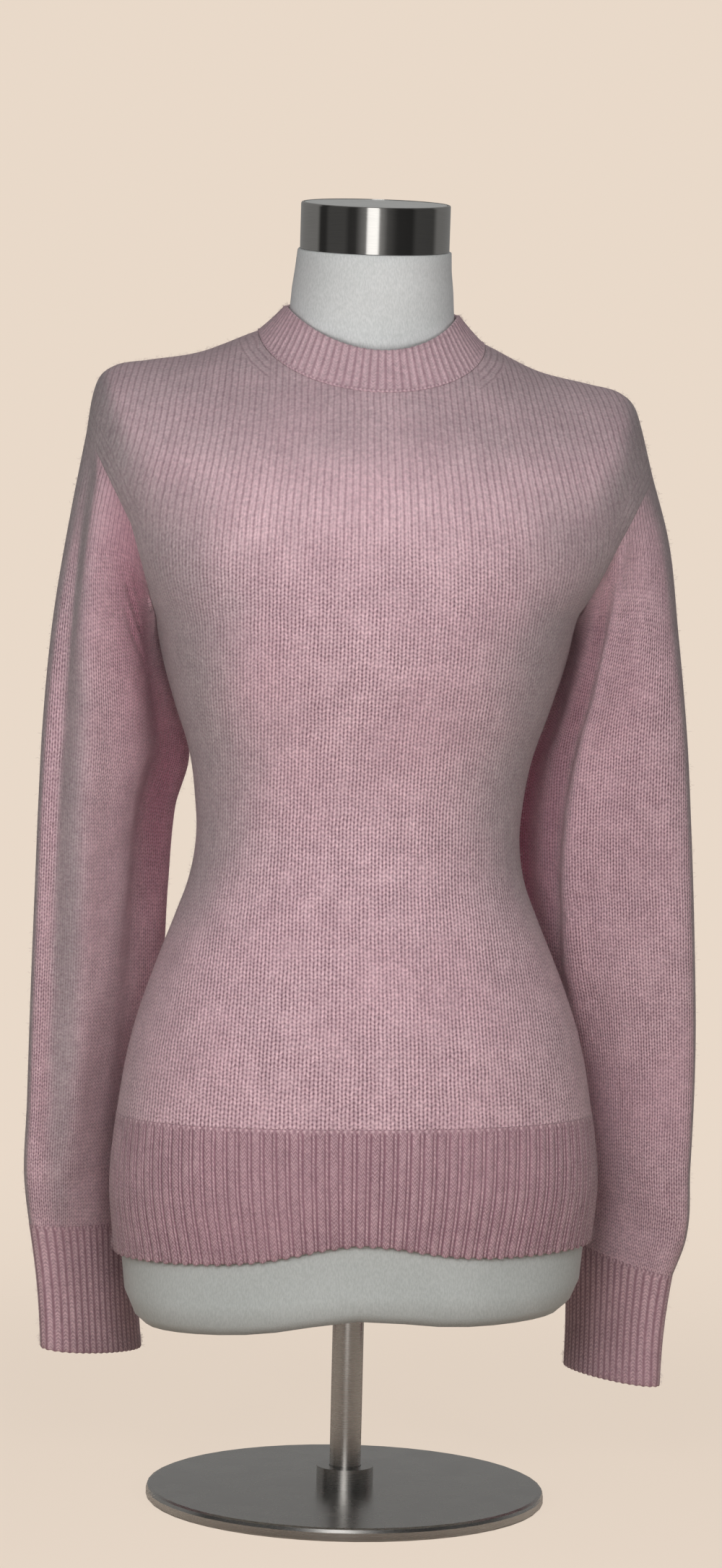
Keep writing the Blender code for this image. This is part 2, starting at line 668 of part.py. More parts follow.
def build_sweater():
    """Builds the cloth pieces, with each seam's inner edge shared by the pieces that meet there."""
    climbs = panel_climbs()
    panels = {face: panel_rows(face, climbs, True) for face in (FRONT, BACK)}
    hems = {face: panel_rows(face, np.linspace(-1, 0, ROWS_HEM + 1), False) for face in (FRONT, BACK)}
    panel_in = {face: inner_of(panels[face], False, -face) for face in panels}
    hem_in = {face: inner_of(hems[face], False, -face) for face in hems}
    share_body_seams(panels, panel_in, hems, hem_in)

    names = {FRONT: "front", BACK: "back"}
    edges = (FIRST_ROW, LAST_ROW, FIRST_COLUMN, LAST_COLUMN)
    for hole in ARMHOLES:
        build_sleeve(hole, panels, panel_in)
    build_neckband(panels, panel_in)
    for face, name in names.items():
        wall_object(f"{name}_panel", panels[face], panel_in[face], False, PINK_KNIT, edges)
        wall_object(
            f"hem_rib_{name}", hems[face], hem_in[face], False, PINK_RIB,
            (LAST_ROW, FIRST_COLUMN, LAST_COLUMN),
        )


def inner_of(grid, closed, sign):
    """The wall's inner surface."""
    return grid - WALL * normals(grid, closed, sign)


def share_body_seams(panels, panel_in, hems, hem_in):
    """Side seams, shoulder seams and the line over the hem rib: both pieces get the mean inner edge."""
    body_rows = slice(0, ROWS_BODY + 1)
    for column in (0, -1):
        meet(panel_in[FRONT], panel_in[BACK], np.s_[body_rows, column])
        meet(hem_in[FRONT], hem_in[BACK], np.s_[:, column])
    for face in (FRONT, BACK):
        mean = (panel_in[face][0] + hem_in[face][-1]) / 2
        panel_in[face][0] = hem_in[face][-1] = mean
    columns = panels[FRONT].shape[1]
    for shoulder in (slice(0, COLUMNS_SHOULDER + 1), slice(columns - COLUMNS_SHOULDER - 1, columns)):
        meet(panel_in[FRONT], panel_in[BACK], np.s_[-1, shoulder])


def meet(first, second, where):
    """Gives two grids the mean of their points there."""
    mean = (first[where] + second[where]) / 2
    first[where] = mean
    second[where] = mean


def armhole_loop(grids, column):
    """The loop in ring order: top, front, underarm, back."""
    front = grids[FRONT][ROWS_BODY:, column][::-1]
    back = grids[BACK][ROWS_BODY:, column]
    return np.concatenate([front, back[1:-1]])


def set_armhole_loop(grids, column, loop):
    """Writes a loop in ring order to the panels' edge columns."""
    climb = ROWS_UNDERARM + ROWS_SHOULDER
    grids[FRONT][ROWS_BODY:, column] = loop[: climb + 1][::-1]
    grids[BACK][ROWS_BODY:, column] = np.concatenate([loop[climb:], loop[:1]])


def unit(vectors):
    """Vectors brought to a length of 1."""
    return vectors / np.linalg.norm(vectors, axis=-1, keepdims=True)


def build_sleeve(hole, panels, panel_in):
    """One sleeve and its cuff.

    Where sleeve and body run on into each other the wall turns with both; where they fold back on
    each other, each keeps its own thickness.
    """
    column = 0 if hole.side == LEFT else -1
    sign = hole.side
    outer = sleeve_grid(hole, armhole_loop(panels, column))
    outer[0] = armhole_loop(panels, column)
    cuff = cuff_grid(hole, outer[-1])
    inner, cuff_in = inner_of(outer, True, sign), inner_of(cuff, True, sign)

    body_out = armhole_loop({face: normals(panels[face], False, -face) for face in panels}, column)
    sleeve_out = normals(outer, True, sign)[0]
    agree = np.clip((body_out * sleeve_out).sum(axis=-1, keepdims=True), 0, 1)
    set_armhole_loop(panel_in, column, outer[0] - WALL * unit(body_out + agree * sleeve_out))
    inner[0] = outer[0] - WALL * unit(sleeve_out + agree * body_out)
    inner[-1] = cuff_in[0] = (inner[-1] + cuff_in[0]) / 2

    name = "left" if hole.side == LEFT else "right"
    wall_object(f"sleeve_{name}", outer, inner, True, PINK_KNIT, (FIRST_ROW, LAST_ROW))
    wall_object(f"cuff_{name}", cuff, cuff_in, True, PINK_RIB, (FIRST_ROW,))


def build_neckband(panels, panel_in):
    """The neckband, linked to the neckline all round."""
    columns = panels[FRONT].shape[1]
    middle, reach = columns // 2, COLUMNS_NECK

    def loop(grids):
        front = grids[FRONT][-1, middle : middle + reach + 1]
        back = grids[BACK][-1, middle - reach : middle + reach + 1][::-1]
        left = grids[FRONT][-1, middle - reach : middle]
        return np.concatenate([front, back[1:-1], left])

    outer = neckband_grid(loop(panels))
    inner = inner_of(outer, True, 1.0)
    shared = (inner[0] + loop(panel_in)) / 2
    inner[0] = shared
    spread_neckline(panel_in, shared, middle, reach)
    wall_object("neckband", outer, inner, True, PINK_RIB, (FIRST_ROW,), NECKBAND_GAP)


def spread_neckline(panel_in, shared, middle, reach):
    """Gives both panels the neckband's inner edge."""
    panel_in[FRONT][-1, middle : middle + reach + 1] = shared[: reach + 1]
    panel_in[BACK][-1, middle - reach : middle + reach + 1] = shared[reach : 3 * reach + 1][::-1]
    panel_in[FRONT][-1, middle - reach : middle + 1] = np.concatenate([shared[3 * reach :], shared[:1]])


# ---- The dress form and its stand


def form_sections():
    """All sections of the form: lower edge, inside the sweater, shoulders and neck."""
    inset = WALL + FORM_EASE
    heights = (*FORM_LOW_LEVELS, *np.linspace(HEM_TOP, UNDERARM, ROWS_BODY + 1))
    middle = [
        FormSection(
            z,
            float(column_of(BODY, "half_width", z)) - inset,
            float(column_of(BODY, "front", z)) - inset,
            float(column_of(BODY, "back", z)) - inset,
            float(column_of(BODY, "fullness", z)),
        )
        for z in heights
    ]
    return (*FORM_LOWER, *middle, *FORM_UPPER)


def form_ring(section):
    """One oval of the form, round from +X."""
    angles = loop_angles(FORM_COLUMNS)
    cos, sin = np.cos(angles), np.sin(angles)
    power = 2 / section.fullness
    x = section.half_width * np.sign(cos) * np.abs(cos) ** power
    far = np.where(sin > 0, section.back, -section.front)
    y = SIDE_Y + (far - SIDE_Y) * np.abs(sin) ** power
    low = column_of(THIGH_GAP, "rise", np.clip(section.height, THIGH_GAP[0].height, THIGH_GAP[-1].height))
    lift = low * np.exp(-((x / THIGH_GAP_SPREAD) ** 2))
    return leaned(np.stack([x, y, section.height + lift], axis=-1))


def neck_top_ring(radius, climb):
    """A circle square to the leaning neck, climb above the band's lower face."""
    angles = loop_angles(FORM_COLUMNS)
    lean = math.radians(CAP_LEAN)
    cos, sin = np.cos(angles), np.sin(angles)
    x = CAP_CENTRE[0] + radius * cos
    y = CAP_CENTRE[1] + radius * sin * math.cos(lean) - climb * math.sin(lean)
    z = CAP_CENTRE[2] + radius * sin * math.sin(lean) + climb * math.cos(lean)
    return np.stack([x, y, z], axis=-1)


def build_form():
    """The form: ovals from the underside to the neck, closed by a flat top and a flat underside."""
    angles = loop_angles(FORM_COLUMNS)
    seat = FORM_SEAT_RADIUS * np.stack([np.cos(angles), np.sin(angles), 0 * angles], axis=-1)
    rings = [seat + (0, SIDE_Y, FORM_SEAT)]
    rings += [form_ring(section) for section in form_sections()]
    rings.append(neck_top_ring(NECK_TOP_RADIUS, -SEAM_GAP - NECK_TOP_BEVEL))
    rings.append(neck_top_ring(NECK_TOP_RADIUS - NECK_TOP_BEVEL, -SEAM_GAP))
    grid = np.array(rings)
    rows = len(grid)
    index = np.arange(rows * FORM_COLUMNS).reshape(rows, FORM_COLUMNS)
    index = np.concatenate([index, index[:, :1]], axis=1)
    base = np.array([[0.0, SIDE_Y, FORM_SEAT]])
    crown = neck_top_ring(0.0, -SEAM_GAP)[:1]
    points = np.concatenate([grid.reshape(-1, 3), base, crown])
    under, over = len(points) - 2, len(points) - 1
    faces = [tuple(face) for face in grid_faces(index)]
    for i in range(FORM_COLUMNS):
        faces.append((index[0][i + 1], index[0][i], under))
        faces.append((index[-1][i], index[-1][i + 1], over))
    mesh_object("form_torso", points, faces, JERSEY)


def turned(name, profile, look):
    """A solid of revolution about Z from (radius, height) points, first and last on the axis."""
    work = bmesh.new()
    corners = [work.verts.new((radius, 0, height)) for radius, height in profile]
    lines = [work.edges.new(pair) for pair in zip(corners, corners[1:])]
    bmesh.ops.spin(
        work, geom=corners + lines, axis=(0, 0, 1), cent=(0, 0, 0), angle=2 * math.pi, steps=TURNED_SIDES
    )
    bmesh.ops.remove_doubles(work, verts=work.verts, dist=1e-6)
    bmesh.ops.recalc_face_normals(work, faces=work.faces)
    mesh = bpy.data.meshes.new(name)
    work.to_mesh(mesh)
    work.free()
    mesh.shade_smooth()
    mesh.set_sharp_from_angle(angle=SHARP)
    mesh.materials.append(material(*look))
    made = bpy.data.objects.new(name, mesh)
    bpy.context.scene.collection.objects.link(made)
    return made


def build_cap():
    """The steel band on the neck, and the pale plate let into its top."""
    rim, recess = CAP_HEIGHT, CAP_HEIGHT - PLATE_THICKNESS
    band = turned(
        "neck_band",
        (
            (0, 0),
            (CAP_RADIUS, 0),
            (CAP_RADIUS, rim - CAP_BEVEL),
            (CAP_RADIUS - CAP_BEVEL * ROUND_CORNER, rim - CAP_BEVEL * ROUND_CORNER),
            (CAP_RADIUS - CAP_BEVEL, rim),
            (PLATE_RADIUS + SEAM_GAP, rim),
            (PLATE_RADIUS + SEAM_GAP, recess),
            (0, recess),
        ),
        STEEL,
    )
    low, high = recess + SEAM_GAP, rim - PLATE_SINK
    plate = turned("neck_plate", ((0, low), (PLATE_RADIUS, low), (PLATE_RADIUS, high), (0, high)), PALE_PLATE)
    for piece in (band, plate):
        piece.location = CAP_CENTRE
        piece.rotation_euler = (math.radians(CAP_LEAN), 0, 0)


def build_stand():
    """The round foot with a socket in its boss, and the pole with the flange under the form."""
    socket = POLE_RADIUS + POLE_CLEARANCE
    boss_top = FOOT_THICKNESS + BOSS_HEIGHT
    turned(
        "stand_foot",
        (
            (0, 0),
            (FOOT_RADIUS - FOOT_UNDER_BEVEL, 0),
            (FOOT_RADIUS, FOOT_UNDER_BEVEL),
            (FOOT_RADIUS, FOOT_THICKNESS - FOOT_BEVEL),
            (FOOT_RADIUS - FOOT_BEVEL * ROUND_CORNER, FOOT_THICKNESS - FOOT_BEVEL * ROUND_CORNER),
            (FOOT_RADIUS - FOOT_BEVEL, FOOT_THICKNESS),
            (BOSS_RADIUS, FOOT_THICKNESS),
            (BOSS_RADIUS, boss_top),
            (socket, boss_top),
            (socket, FOOT_THICKNESS),
            (0, FOOT_THICKNESS),
        ),
        STEEL,
    )
    top = FORM_SEAT - SEAM_GAP
    turned(
        "stand_pole",
        (
            (0, FOOT_THICKNESS + POLE_CLEARANCE),
            (POLE_RADIUS, FOOT_THICKNESS + POLE_CLEARANCE),
            (POLE_RADIUS, top - FLANGE_THICKNESS),
            (FLANGE_RADIUS, top - FLANGE_THICKNESS),
            (FLANGE_RADIUS, top),
            (0, top),
        ),
        STEEL,
    )


def main():
    """Builds every piece of the object in an empty scene."""
    for old in list(bpy.data.objects):
        bpy.data.objects.remove(old)
    build_sweater()
    build_form()
    build_cap()
    build_stand()


if __name__ == "__main__":
    main()
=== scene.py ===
"""Looks of a crewneck sweater worn on a limbless dress form.

Metres, +Z up, the sweater's front faces -Y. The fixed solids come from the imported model; the cloth is
built again here as fine walls over the same surfaces, with its ribs, seams, folds and loose fibres.
"""

import logging
import math
from collections.abc import Sequence
from dataclasses import dataclass, field
from enum import Enum
from functools import cached_property
from typing import NamedTuple

import bmesh
import bpy
import numpy as np
from mathutils import Matrix, Vector
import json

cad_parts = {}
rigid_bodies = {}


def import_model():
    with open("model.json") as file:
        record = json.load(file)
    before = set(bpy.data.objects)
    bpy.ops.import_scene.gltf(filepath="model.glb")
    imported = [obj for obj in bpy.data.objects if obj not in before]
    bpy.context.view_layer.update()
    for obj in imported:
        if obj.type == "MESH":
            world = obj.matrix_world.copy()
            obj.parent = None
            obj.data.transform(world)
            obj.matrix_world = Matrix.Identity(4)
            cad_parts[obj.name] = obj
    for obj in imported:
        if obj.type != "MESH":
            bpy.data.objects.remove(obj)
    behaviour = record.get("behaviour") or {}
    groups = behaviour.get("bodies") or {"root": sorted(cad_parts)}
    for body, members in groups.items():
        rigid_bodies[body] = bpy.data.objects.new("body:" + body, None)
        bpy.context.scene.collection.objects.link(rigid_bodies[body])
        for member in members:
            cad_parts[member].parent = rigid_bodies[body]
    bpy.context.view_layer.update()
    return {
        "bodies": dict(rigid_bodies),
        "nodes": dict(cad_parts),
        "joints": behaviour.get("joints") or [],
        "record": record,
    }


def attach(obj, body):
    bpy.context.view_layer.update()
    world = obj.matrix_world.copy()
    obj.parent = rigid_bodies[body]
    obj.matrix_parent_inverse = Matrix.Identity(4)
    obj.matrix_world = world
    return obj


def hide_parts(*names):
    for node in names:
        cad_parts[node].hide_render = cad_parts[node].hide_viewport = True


LOG = logging.getLogger("sweater")
Array = np.ndarray
Material, Piece, Socket = bpy.types.Material, bpy.types.Object, bpy.types.NodeSocket
Pair = tuple[float, float]
Colour = tuple[float, float, float]
Triple = tuple[float, float, float]  # a place, or a scale along each axis


class Face(float, Enum):
    """Which way along Y a panel lies."""

    FRONT = -1.0
    BACK = 1.0


class Side(float, Enum):
    """Which way along X a sleeve lies."""

    LEFT = -1.0
    RIGHT = 1.0


FRONT, BACK, LEFT, RIGHT = Face.FRONT, Face.BACK, Side.LEFT, Side.RIGHT

# ---- Tables of the sweater's form


class BodySection(NamedTuple):
    """One horizontal oval of the body, on the outside of the cloth."""

    height: float
    half_width: float
    front: float
    back: float
    fullness: float


BODY = (
    BodySection(0.184, 0.1680, 0.100, 0.112, 2.25),
    BodySection(0.225, 0.1713, 0.104, 0.118, 2.30),
    BodySection(0.273, 0.1668, 0.104, 0.117, 2.30),
    BodySection(0.335, 0.1550, 0.101, 0.104, 2.25),
    BodySection(0.371, 0.1428, 0.097, 0.094, 2.20),
    BodySection(0.413, 0.1262, 0.092, 0.081, 2.15),
    BodySection(0.434, 0.1184, 0.089, 0.076, 2.10),
    BodySection(0.467, 0.1132, 0.086, 0.072, 2.10),
    BodySection(0.495, 0.1150, 0.087, 0.073, 2.10),
    BodySection(0.526, 0.1202, 0.094, 0.077, 2.15),
    BodySection(0.558, 0.1312, 0.105, 0.084, 2.20),
    BodySection(0.589, 0.1408, 0.115, 0.091, 2.30),
    BodySection(0.6225, 0.1475, 0.122, 0.097, 2.40),
    BodySection(0.650, 0.1520, 0.124, 0.100, 2.40),
    BodySection(0.680, 0.1540, 0.124, 0.100, 2.40),
)


class Lean(NamedTuple):
    """How the body stands out of true: height gained per metre along +X, and a shift along X."""

    height: float
    tilt: float
    shift: float


LEANS = (
    Lean(0.1200, 0.052, 0.0015),
    Lean(0.1350, 0.050, 0.0018),
    Lean(0.1800, 0.040, 0.0018),
    Lean(0.2700, 0.017, 0.0008),
    Lean(0.3500, 0.008, 0.0002),
    Lean(0.4500, 0.000, -0.0012),
    Lean(0.5400, 0.000, 0.0000),
    Lean(0.6200, 0.000, 0.0016),
    Lean(0.7000, -0.010, 0.0008),
    Lean(0.7900, -0.029, 0.0000),
    Lean(0.8300, -0.030, 0.0000),
    Lean(0.8700, 0.000, 0.0004),
    Lean(0.9200, 0.000, 0.0004),
)


class RidgePoint(NamedTuple):
    """The line along the top of a shoulder, by the column's share of the way to the armhole."""

    share: float
    left_out: float
    right_out: float
    height: float


RIDGE = (
    RidgePoint(0.00, 0.0000, 0.0000, 0.8420),
    RidgePoint(0.38, 0.0790, 0.0790, 0.8160),
    RidgePoint(0.55, 0.1190, 0.1170, 0.7990),
    RidgePoint(0.71, 0.1550, 0.1530, 0.7915),
    RidgePoint(0.80, 0.1765, 0.1735, 0.7870),
    RidgePoint(0.87, 0.1880, 0.1840, 0.7785),
    RidgePoint(0.93, 0.1930, 0.1890, 0.7650),
)


class Armhole(NamedTuple):
    """The loop where a sleeve is set in, seen from the front as a line with a bow in it."""

    side: Side
    top_out: float
    top_height: float
    underarm_out: float
    underarm_height: float
    bow: float


ARMHOLES = {
    LEFT: Armhole(LEFT, 0.1968, 0.7413, 0.1480, 0.6195, 0.0070),
    RIGHT: Armhole(RIGHT, 0.1978, 0.7282, 0.1470, 0.6250, 0.0020),
}


class Oval(NamedTuple):
    """One cross-section of a sleeve: the two ends of the oval, and how it lies from front to back."""

    outer_out: float
    outer_height: float
    inner_out: float
    inner_height: float
    middle_y: float
    slant: float
    depth: float


SLEEVES = {
    LEFT: (
        Oval(0.2062, 0.6900, 0.1390, 0.6000, 0.014, 0.030, 0.054),
        Oval(0.2174, 0.6130, 0.1260, 0.5560, 0.020, 0.052, 0.050),
        Oval(0.2230, 0.5400, 0.1185, 0.5160, 0.028, 0.066, 0.045),
        Oval(0.2248, 0.4900, 0.1272, 0.4820, 0.033, 0.070, 0.042),
        Oval(0.2262, 0.4315, 0.1315, 0.4260, 0.040, 0.074, 0.040),
        Oval(0.2280, 0.3560, 0.1345, 0.3520, 0.052, 0.078, 0.038),
        Oval(0.2293, 0.2750, 0.1430, 0.2720, 0.062, 0.080, 0.036),
        Oval(0.2300, 0.2150, 0.1475, 0.2120, 0.065, 0.076, 0.034),
        Oval(0.2262, 0.1870, 0.1500, 0.1825, 0.063, 0.068, 0.030),
    ),
    RIGHT: (
        Oval(0.2100, 0.6830, 0.1430, 0.6050, 0.013, 0.028, 0.054),
        Oval(0.2190, 0.6150, 0.1280, 0.5560, 0.020, 0.052, 0.051),
        Oval(0.2275, 0.5420, 0.1120, 0.5160, 0.030, 0.070, 0.047),
        Oval(0.2325, 0.4800, 0.1060, 0.4700, 0.036, 0.076, 0.043),
        Oval(0.2380, 0.4000, 0.1130, 0.3950, 0.046, 0.082, 0.041),
        Oval(0.2425, 0.3150, 0.1320, 0.3110, 0.060, 0.086, 0.038),
        Oval(0.2420, 0.2350, 0.1450, 0.2340, 0.066, 0.084, 0.037),
        Oval(0.2405, 0.1800, 0.1540, 0.1930, 0.066, 0.072, 0.034),
        Oval(0.2325, 0.1560, 0.1600, 0.1745, 0.063, 0.060, 0.031),
    ),
}
CUFF_ENDS = {
    LEFT: Oval(0.2165, 0.1000, 0.1450, 0.0905, 0.058, 0.058, 0.027),
    RIGHT: Oval(0.2255, 0.0780, 0.1615, 0.0820, 0.058, 0.050, 0.028),
}


class Fold(NamedTuple):
    """A long fold down a sleeve; degrees run from the outer side (0) over the front (90)."""

    side: Side
    degrees: float
    twist: float
    spread: float
    height: float
    step: bool
    start: float
    end: float


FOLDS = (
    Fold(LEFT, 46, 22, 19, 0.0070, True, -0.02, 1.00),
    Fold(LEFT, 146, -10, 26, -0.0170, False, 0.02, 0.92),
    Fold(LEFT, 262, 0, 30, -0.0070, False, 0.15, 0.75),
    Fold(LEFT, 310, 12, 22, -0.0040, False, 0.30, 0.95),
    Fold(RIGHT, 102, 30, 11, -0.0080, True, -0.02, 0.74),
    Fold(RIGHT, 158, -8, 24, -0.0130, False, 0.02, 0.85),
    Fold(RIGHT, 52, 10, 22, -0.0030, False, 0.35, 0.98),
    Fold(RIGHT, 250, 0, 28, -0.0070, False, 0.10, 0.70),
)
STEP_PEAK = 2.33  # brings the highest point of x exp(-x^2) to 1
FOLD_FADE = 0.7


class Patch(NamedTuple):
    """A strip down a sleeve: painted sheen and shade that grey it, or painted shade in its valley by the
    body.
    """

    side: Side
    # whether it is painted shade in a valley by the body, else painted sheen and shade that grey a side
    valley_shade: bool
    degrees: float
    twist: float
    spread: float
    start: float
    end: float
    amount: float


# Painted strips on the sleeves: grey painted sheen and shade where a sleeve turns to the side, and dark
# painted shade in the valleys by the body.
PATCHES = (
    Patch(LEFT, False, 46, 22, 16, -0.05, 1.10, 1.00),
    Patch(LEFT, True, 114, 112, 46, -0.12, 0.68, 1.00),
    Patch(LEFT, True, 185, 0, 40, 0.45, 1.10, 0.25),
    Patch(RIGHT, True, 146, 44, 40, 0.00, 0.80, 1.00),
    Patch(RIGHT, True, 90, 0, 50, -0.05, 0.60, 0.14),
)


class Dent(NamedTuple):
    """A short soft crease in a sleeve: where it lies, how it turns, and its half sizes."""

    side: Side
    degrees: float
    share: float
    turn: float
    length: float
    width: float
    height: float


DENTS = (
    Dent(LEFT, 104, 0.060, 40, 0.011, 0.0032, -0.0020),
    Dent(LEFT, 96, 0.085, 52, 0.013, 0.0034, -0.0022),
    Dent(LEFT, 110, 0.105, 44, 0.014, 0.0036, -0.0022),
    Dent(LEFT, 100, 0.140, 58, 0.015, 0.0040, -0.0018),
    Dent(LEFT, 118, 0.165, 36, 0.016, 0.0042, -0.0016),
    Dent(LEFT, 92, 0.47, -18, 0.036, 0.0070, -0.0012),
    Dent(LEFT, 70, 0.55, 14, 0.030, 0.0065, -0.0010),
    Dent(LEFT, 110, 0.90, 8, 0.034, 0.0065, -0.0013),
    Dent(LEFT, 60, 0.94, -6, 0.030, 0.0055, -0.0012),
    Dent(LEFT, 250, 0.42, 10, 0.040, 0.0080, -0.0018),
    Dent(LEFT, 285, 0.52, -12, 0.034, 0.0070, -0.0015),
    Dent(LEFT, 230, 0.91, 6, 0.032, 0.0060, -0.0013),
    Dent(RIGHT, 75, 0.11, 16, 0.026, 0.0050, -0.0009),
    Dent(RIGHT, 125, 0.24, 24, 0.030, 0.0060, -0.0010),
    Dent(RIGHT, 84, 0.50, 16, 0.036, 0.0070, -0.0011),
    Dent(RIGHT, 112, 0.63, -14, 0.032, 0.0065, -0.0010),
    Dent(RIGHT, 95, 0.92, -8, 0.036, 0.0060, -0.0013),
    Dent(RIGHT, 55, 0.95, 6, 0.028, 0.0050, -0.0011),
    Dent(RIGHT, 265, 0.38, 12, 0.038, 0.0080, -0.0017),
    Dent(RIGHT, 240, 0.50, -10, 0.034, 0.0070, -0.0015),
    Dent(RIGHT, 290, 0.93, 6, 0.030, 0.0060, -0.0012),
)


class Crease(NamedTuple):
    """A soft crease of the body, placed as seen from its own side; out and height are its middle."""

    face: Face
    out: float
    height: float
    turn: float
    length: float
    width: float
    rise: float


CREASES = (
    Crease(FRONT, -0.118, 0.612, 38, 0.040, 0.0090, -0.0009),
    Crease(FRONT, -0.100, 0.575, 30, 0.046, 0.0110, 0.0007),
    Crease(FRONT, 0.120, 0.600, -40, 0.042, 0.0090, -0.0009),
    Crease(FRONT, 0.098, 0.560, -28, 0.044, 0.0120, 0.0007),
    Crease(FRONT, -0.060, 0.470, 8, 0.050, 0.0110, -0.0006),
    Crease(FRONT, 0.066, 0.452, -10, 0.046, 0.0120, -0.0006),
    Crease(FRONT, -0.020, 0.430, 3, 0.060, 0.0140, 0.0006),
    Crease(FRONT, 0.090, 0.345, 62, 0.040, 0.0130, 0.0006),
    Crease(FRONT, -0.104, 0.352, -58, 0.042, 0.0120, 0.0006),
    Crease(BACK, -0.070, 0.505, 14, 0.070, 0.0095, 0.0016),
    Crease(BACK, 0.050, 0.478, -8, 0.075, 0.0085, 0.0018),
    Crease(BACK, -0.030, 0.446, 5, 0.080, 0.0100, 0.0016),
    Crease(BACK, 0.075, 0.540, -22, 0.052, 0.0100, 0.0012),
    Crease(BACK, -0.110, 0.590, 48, 0.044, 0.0100, 0.0010),
    Crease(BACK, 0.108, 0.612, -52, 0.040, 0.0090, 0.0010),
)


class Wale(NamedTuple):
    """Width of one column of stitches on the body at a height."""

    height: float
    width: float


WALES = (
    Wale(0.1700, 0.0056),
    Wale(0.2750, 0.0056),
    Wale(0.3600, 0.0053),
    Wale(0.4600, 0.0050),
    Wale(0.6900, 0.0050),
    Wale(0.7400, 0.0046),
    Wale(0.8400, 0.0042),
)


class FaceRow(NamedTuple):
    """Where the front and the back panel differ.

    hem_rise is how far the hem's lower edge rises at its middle, armhole_depth how far the armhole
    stands off the side, middle_round the power of the shoulder's arch at the middle, and
    upright_depth how much depth counts in a wale's distance from the middle, at the shoulders.
    """

    hem_rise: float
    armhole_depth: float
    neckline_height: float
    middle_round: float
    upright_depth: float


FACES = {
    FRONT: FaceRow(0.013, 0.054, 0.7740, 1.68, 0.15),
    BACK: FaceRow(0.004, 0.056, 0.8150, 2.40, 0.70),
}


# ---- Curves and grids


def through(keys: Sequence[float], values: Array, at: Array) -> Array:
    """A smooth curve through a table: cubic Hermite pieces with central slopes.

    Args:
        keys: Rising places of the table's rows.
        values: One value, or one array of points, for each key.
        at: Places to read.

    Returns:
        The curve's values at those places.
    """
    keys, values, at = np.asarray(keys, float), np.asarray(values, float), np.asarray(at, float)
    slopes = np.gradient(values, keys, axis=0)
    left = np.clip(np.searchsorted(keys, at, side="right") - 1, 0, len(keys) - 2)
    span = keys[left + 1] - keys[left]
    u = (at - keys[left]) / span
    extra = (1,) * (values.ndim - 1)
    u, span = u.reshape(u.shape + extra), span.reshape(span.shape + extra)
    return (
        (2 * u**3 - 3 * u**2 + 1) * values[left]
        + (u**3 - 2 * u**2 + u) * span * slopes[left]
        + (3 * u**2 - 2 * u**3) * values[left + 1]
        + (u**3 - u**2) * span * slopes[left + 1]
    )


def column_of(table: Sequence, name: str, at: Array) -> Array:
    """One named column of a table, read at places of its first column."""
    return through([row[0] for row in table], [getattr(row, name) for row in table], at)


def leaned(points: Array) -> Array:
    """The body's slight lean and shift, applied to upright points."""
    points = np.array(points, float)
    level = np.clip(points[..., 2], LEANS[0].height, LEANS[-1].height)
    points[..., 2] += column_of(LEANS, "tilt", level) * points[..., 0]
    points[..., 0] += column_of(LEANS, "shift", level)
    return points


def smooth_step(share: Array) -> Array:
    """From 0 to 1 with level ends: 3s^2 - 2s^3."""
    share = np.clip(share, 0, 1)
    return share * share * (3 - 2 * share)


def rising(values: Array, start: float, reach: float) -> Array:
    """A smooth step from 0 at start to 1 a reach further."""
    return smooth_step((values - start) / reach)


def bell(away: Array, spread: float) -> Array:
    """exp(-(away/spread)^2)."""
    return np.exp(-((away / spread) ** 2))


def flanked(part: Array, flanks: Sequence[float]) -> Array:
    """1 between a rise and a fall, each a smooth step given by its start and its reach."""
    return rising(part, *flanks[:2]) * (1 - rising(part, *flanks[2:]))


def raised_cosine(phase: Array) -> Array:
    """0.5 + 0.5 cos(2 pi phase): 1 at whole numbers, 0 halfway between them."""
    return 0.5 + 0.5 * np.cos(2 * np.pi * phase)


def crossed_bells(row: Dent | Crease, first: Array, second: Array) -> Array:
    """exp(-(a/length)^2 - (b/width)^2), with a along the row's crease and b across it."""
    turn = math.radians(row.turn)
    along = first * math.cos(turn) + second * math.sin(turn)
    over = second * math.cos(turn) - first * math.sin(turn)
    return bell(along, row.length) * bell(over, row.width)


def strip_fade(row: Fold | Patch, along: Array) -> Array:
    """sin(pi s)^FOLD_FADE down a sleeve, with s from 0 at the row's start to 1 at its end."""
    share = np.clip((along - row.start) / (row.end - row.start), 0, 1)
    return np.sin(np.pi * share) ** FOLD_FADE


def turned_from(row: Fold | Patch, degrees: Array, along: Array) -> Array:
    """Degrees from the middle line of a fold or patch, which turns as it goes down, -180 to 180."""
    return (degrees - row.degrees - row.twist * along + 180) % 360 - 180


def closed_up(grid: Array) -> Array:
    """A grid with its first column again after its last."""
    return np.concatenate([grid, grid[:, :1]], axis=1)


def unit(vectors: Array) -> Array:
    """Vectors brought to a length of 1."""
    return vectors / np.maximum(np.linalg.norm(vectors, axis=-1, keepdims=True), 1e-12)


def normals(grid: Array, closed: bool, sign: float) -> Array:
    """Unit normals of a grid: the cross product of its rows' and columns' directions, times sign."""
    if closed:
        across = np.roll(grid, -1, axis=1) - np.roll(grid, 1, axis=1)
    else:
        across = np.gradient(grid, axis=1)
    return unit(np.cross(across, np.gradient(grid, axis=0)) * sign)


def lifted(grid: Array, lift: Array, out: Array) -> Array:
    """Points moved along their normals."""
    return grid + lift[..., None] * out


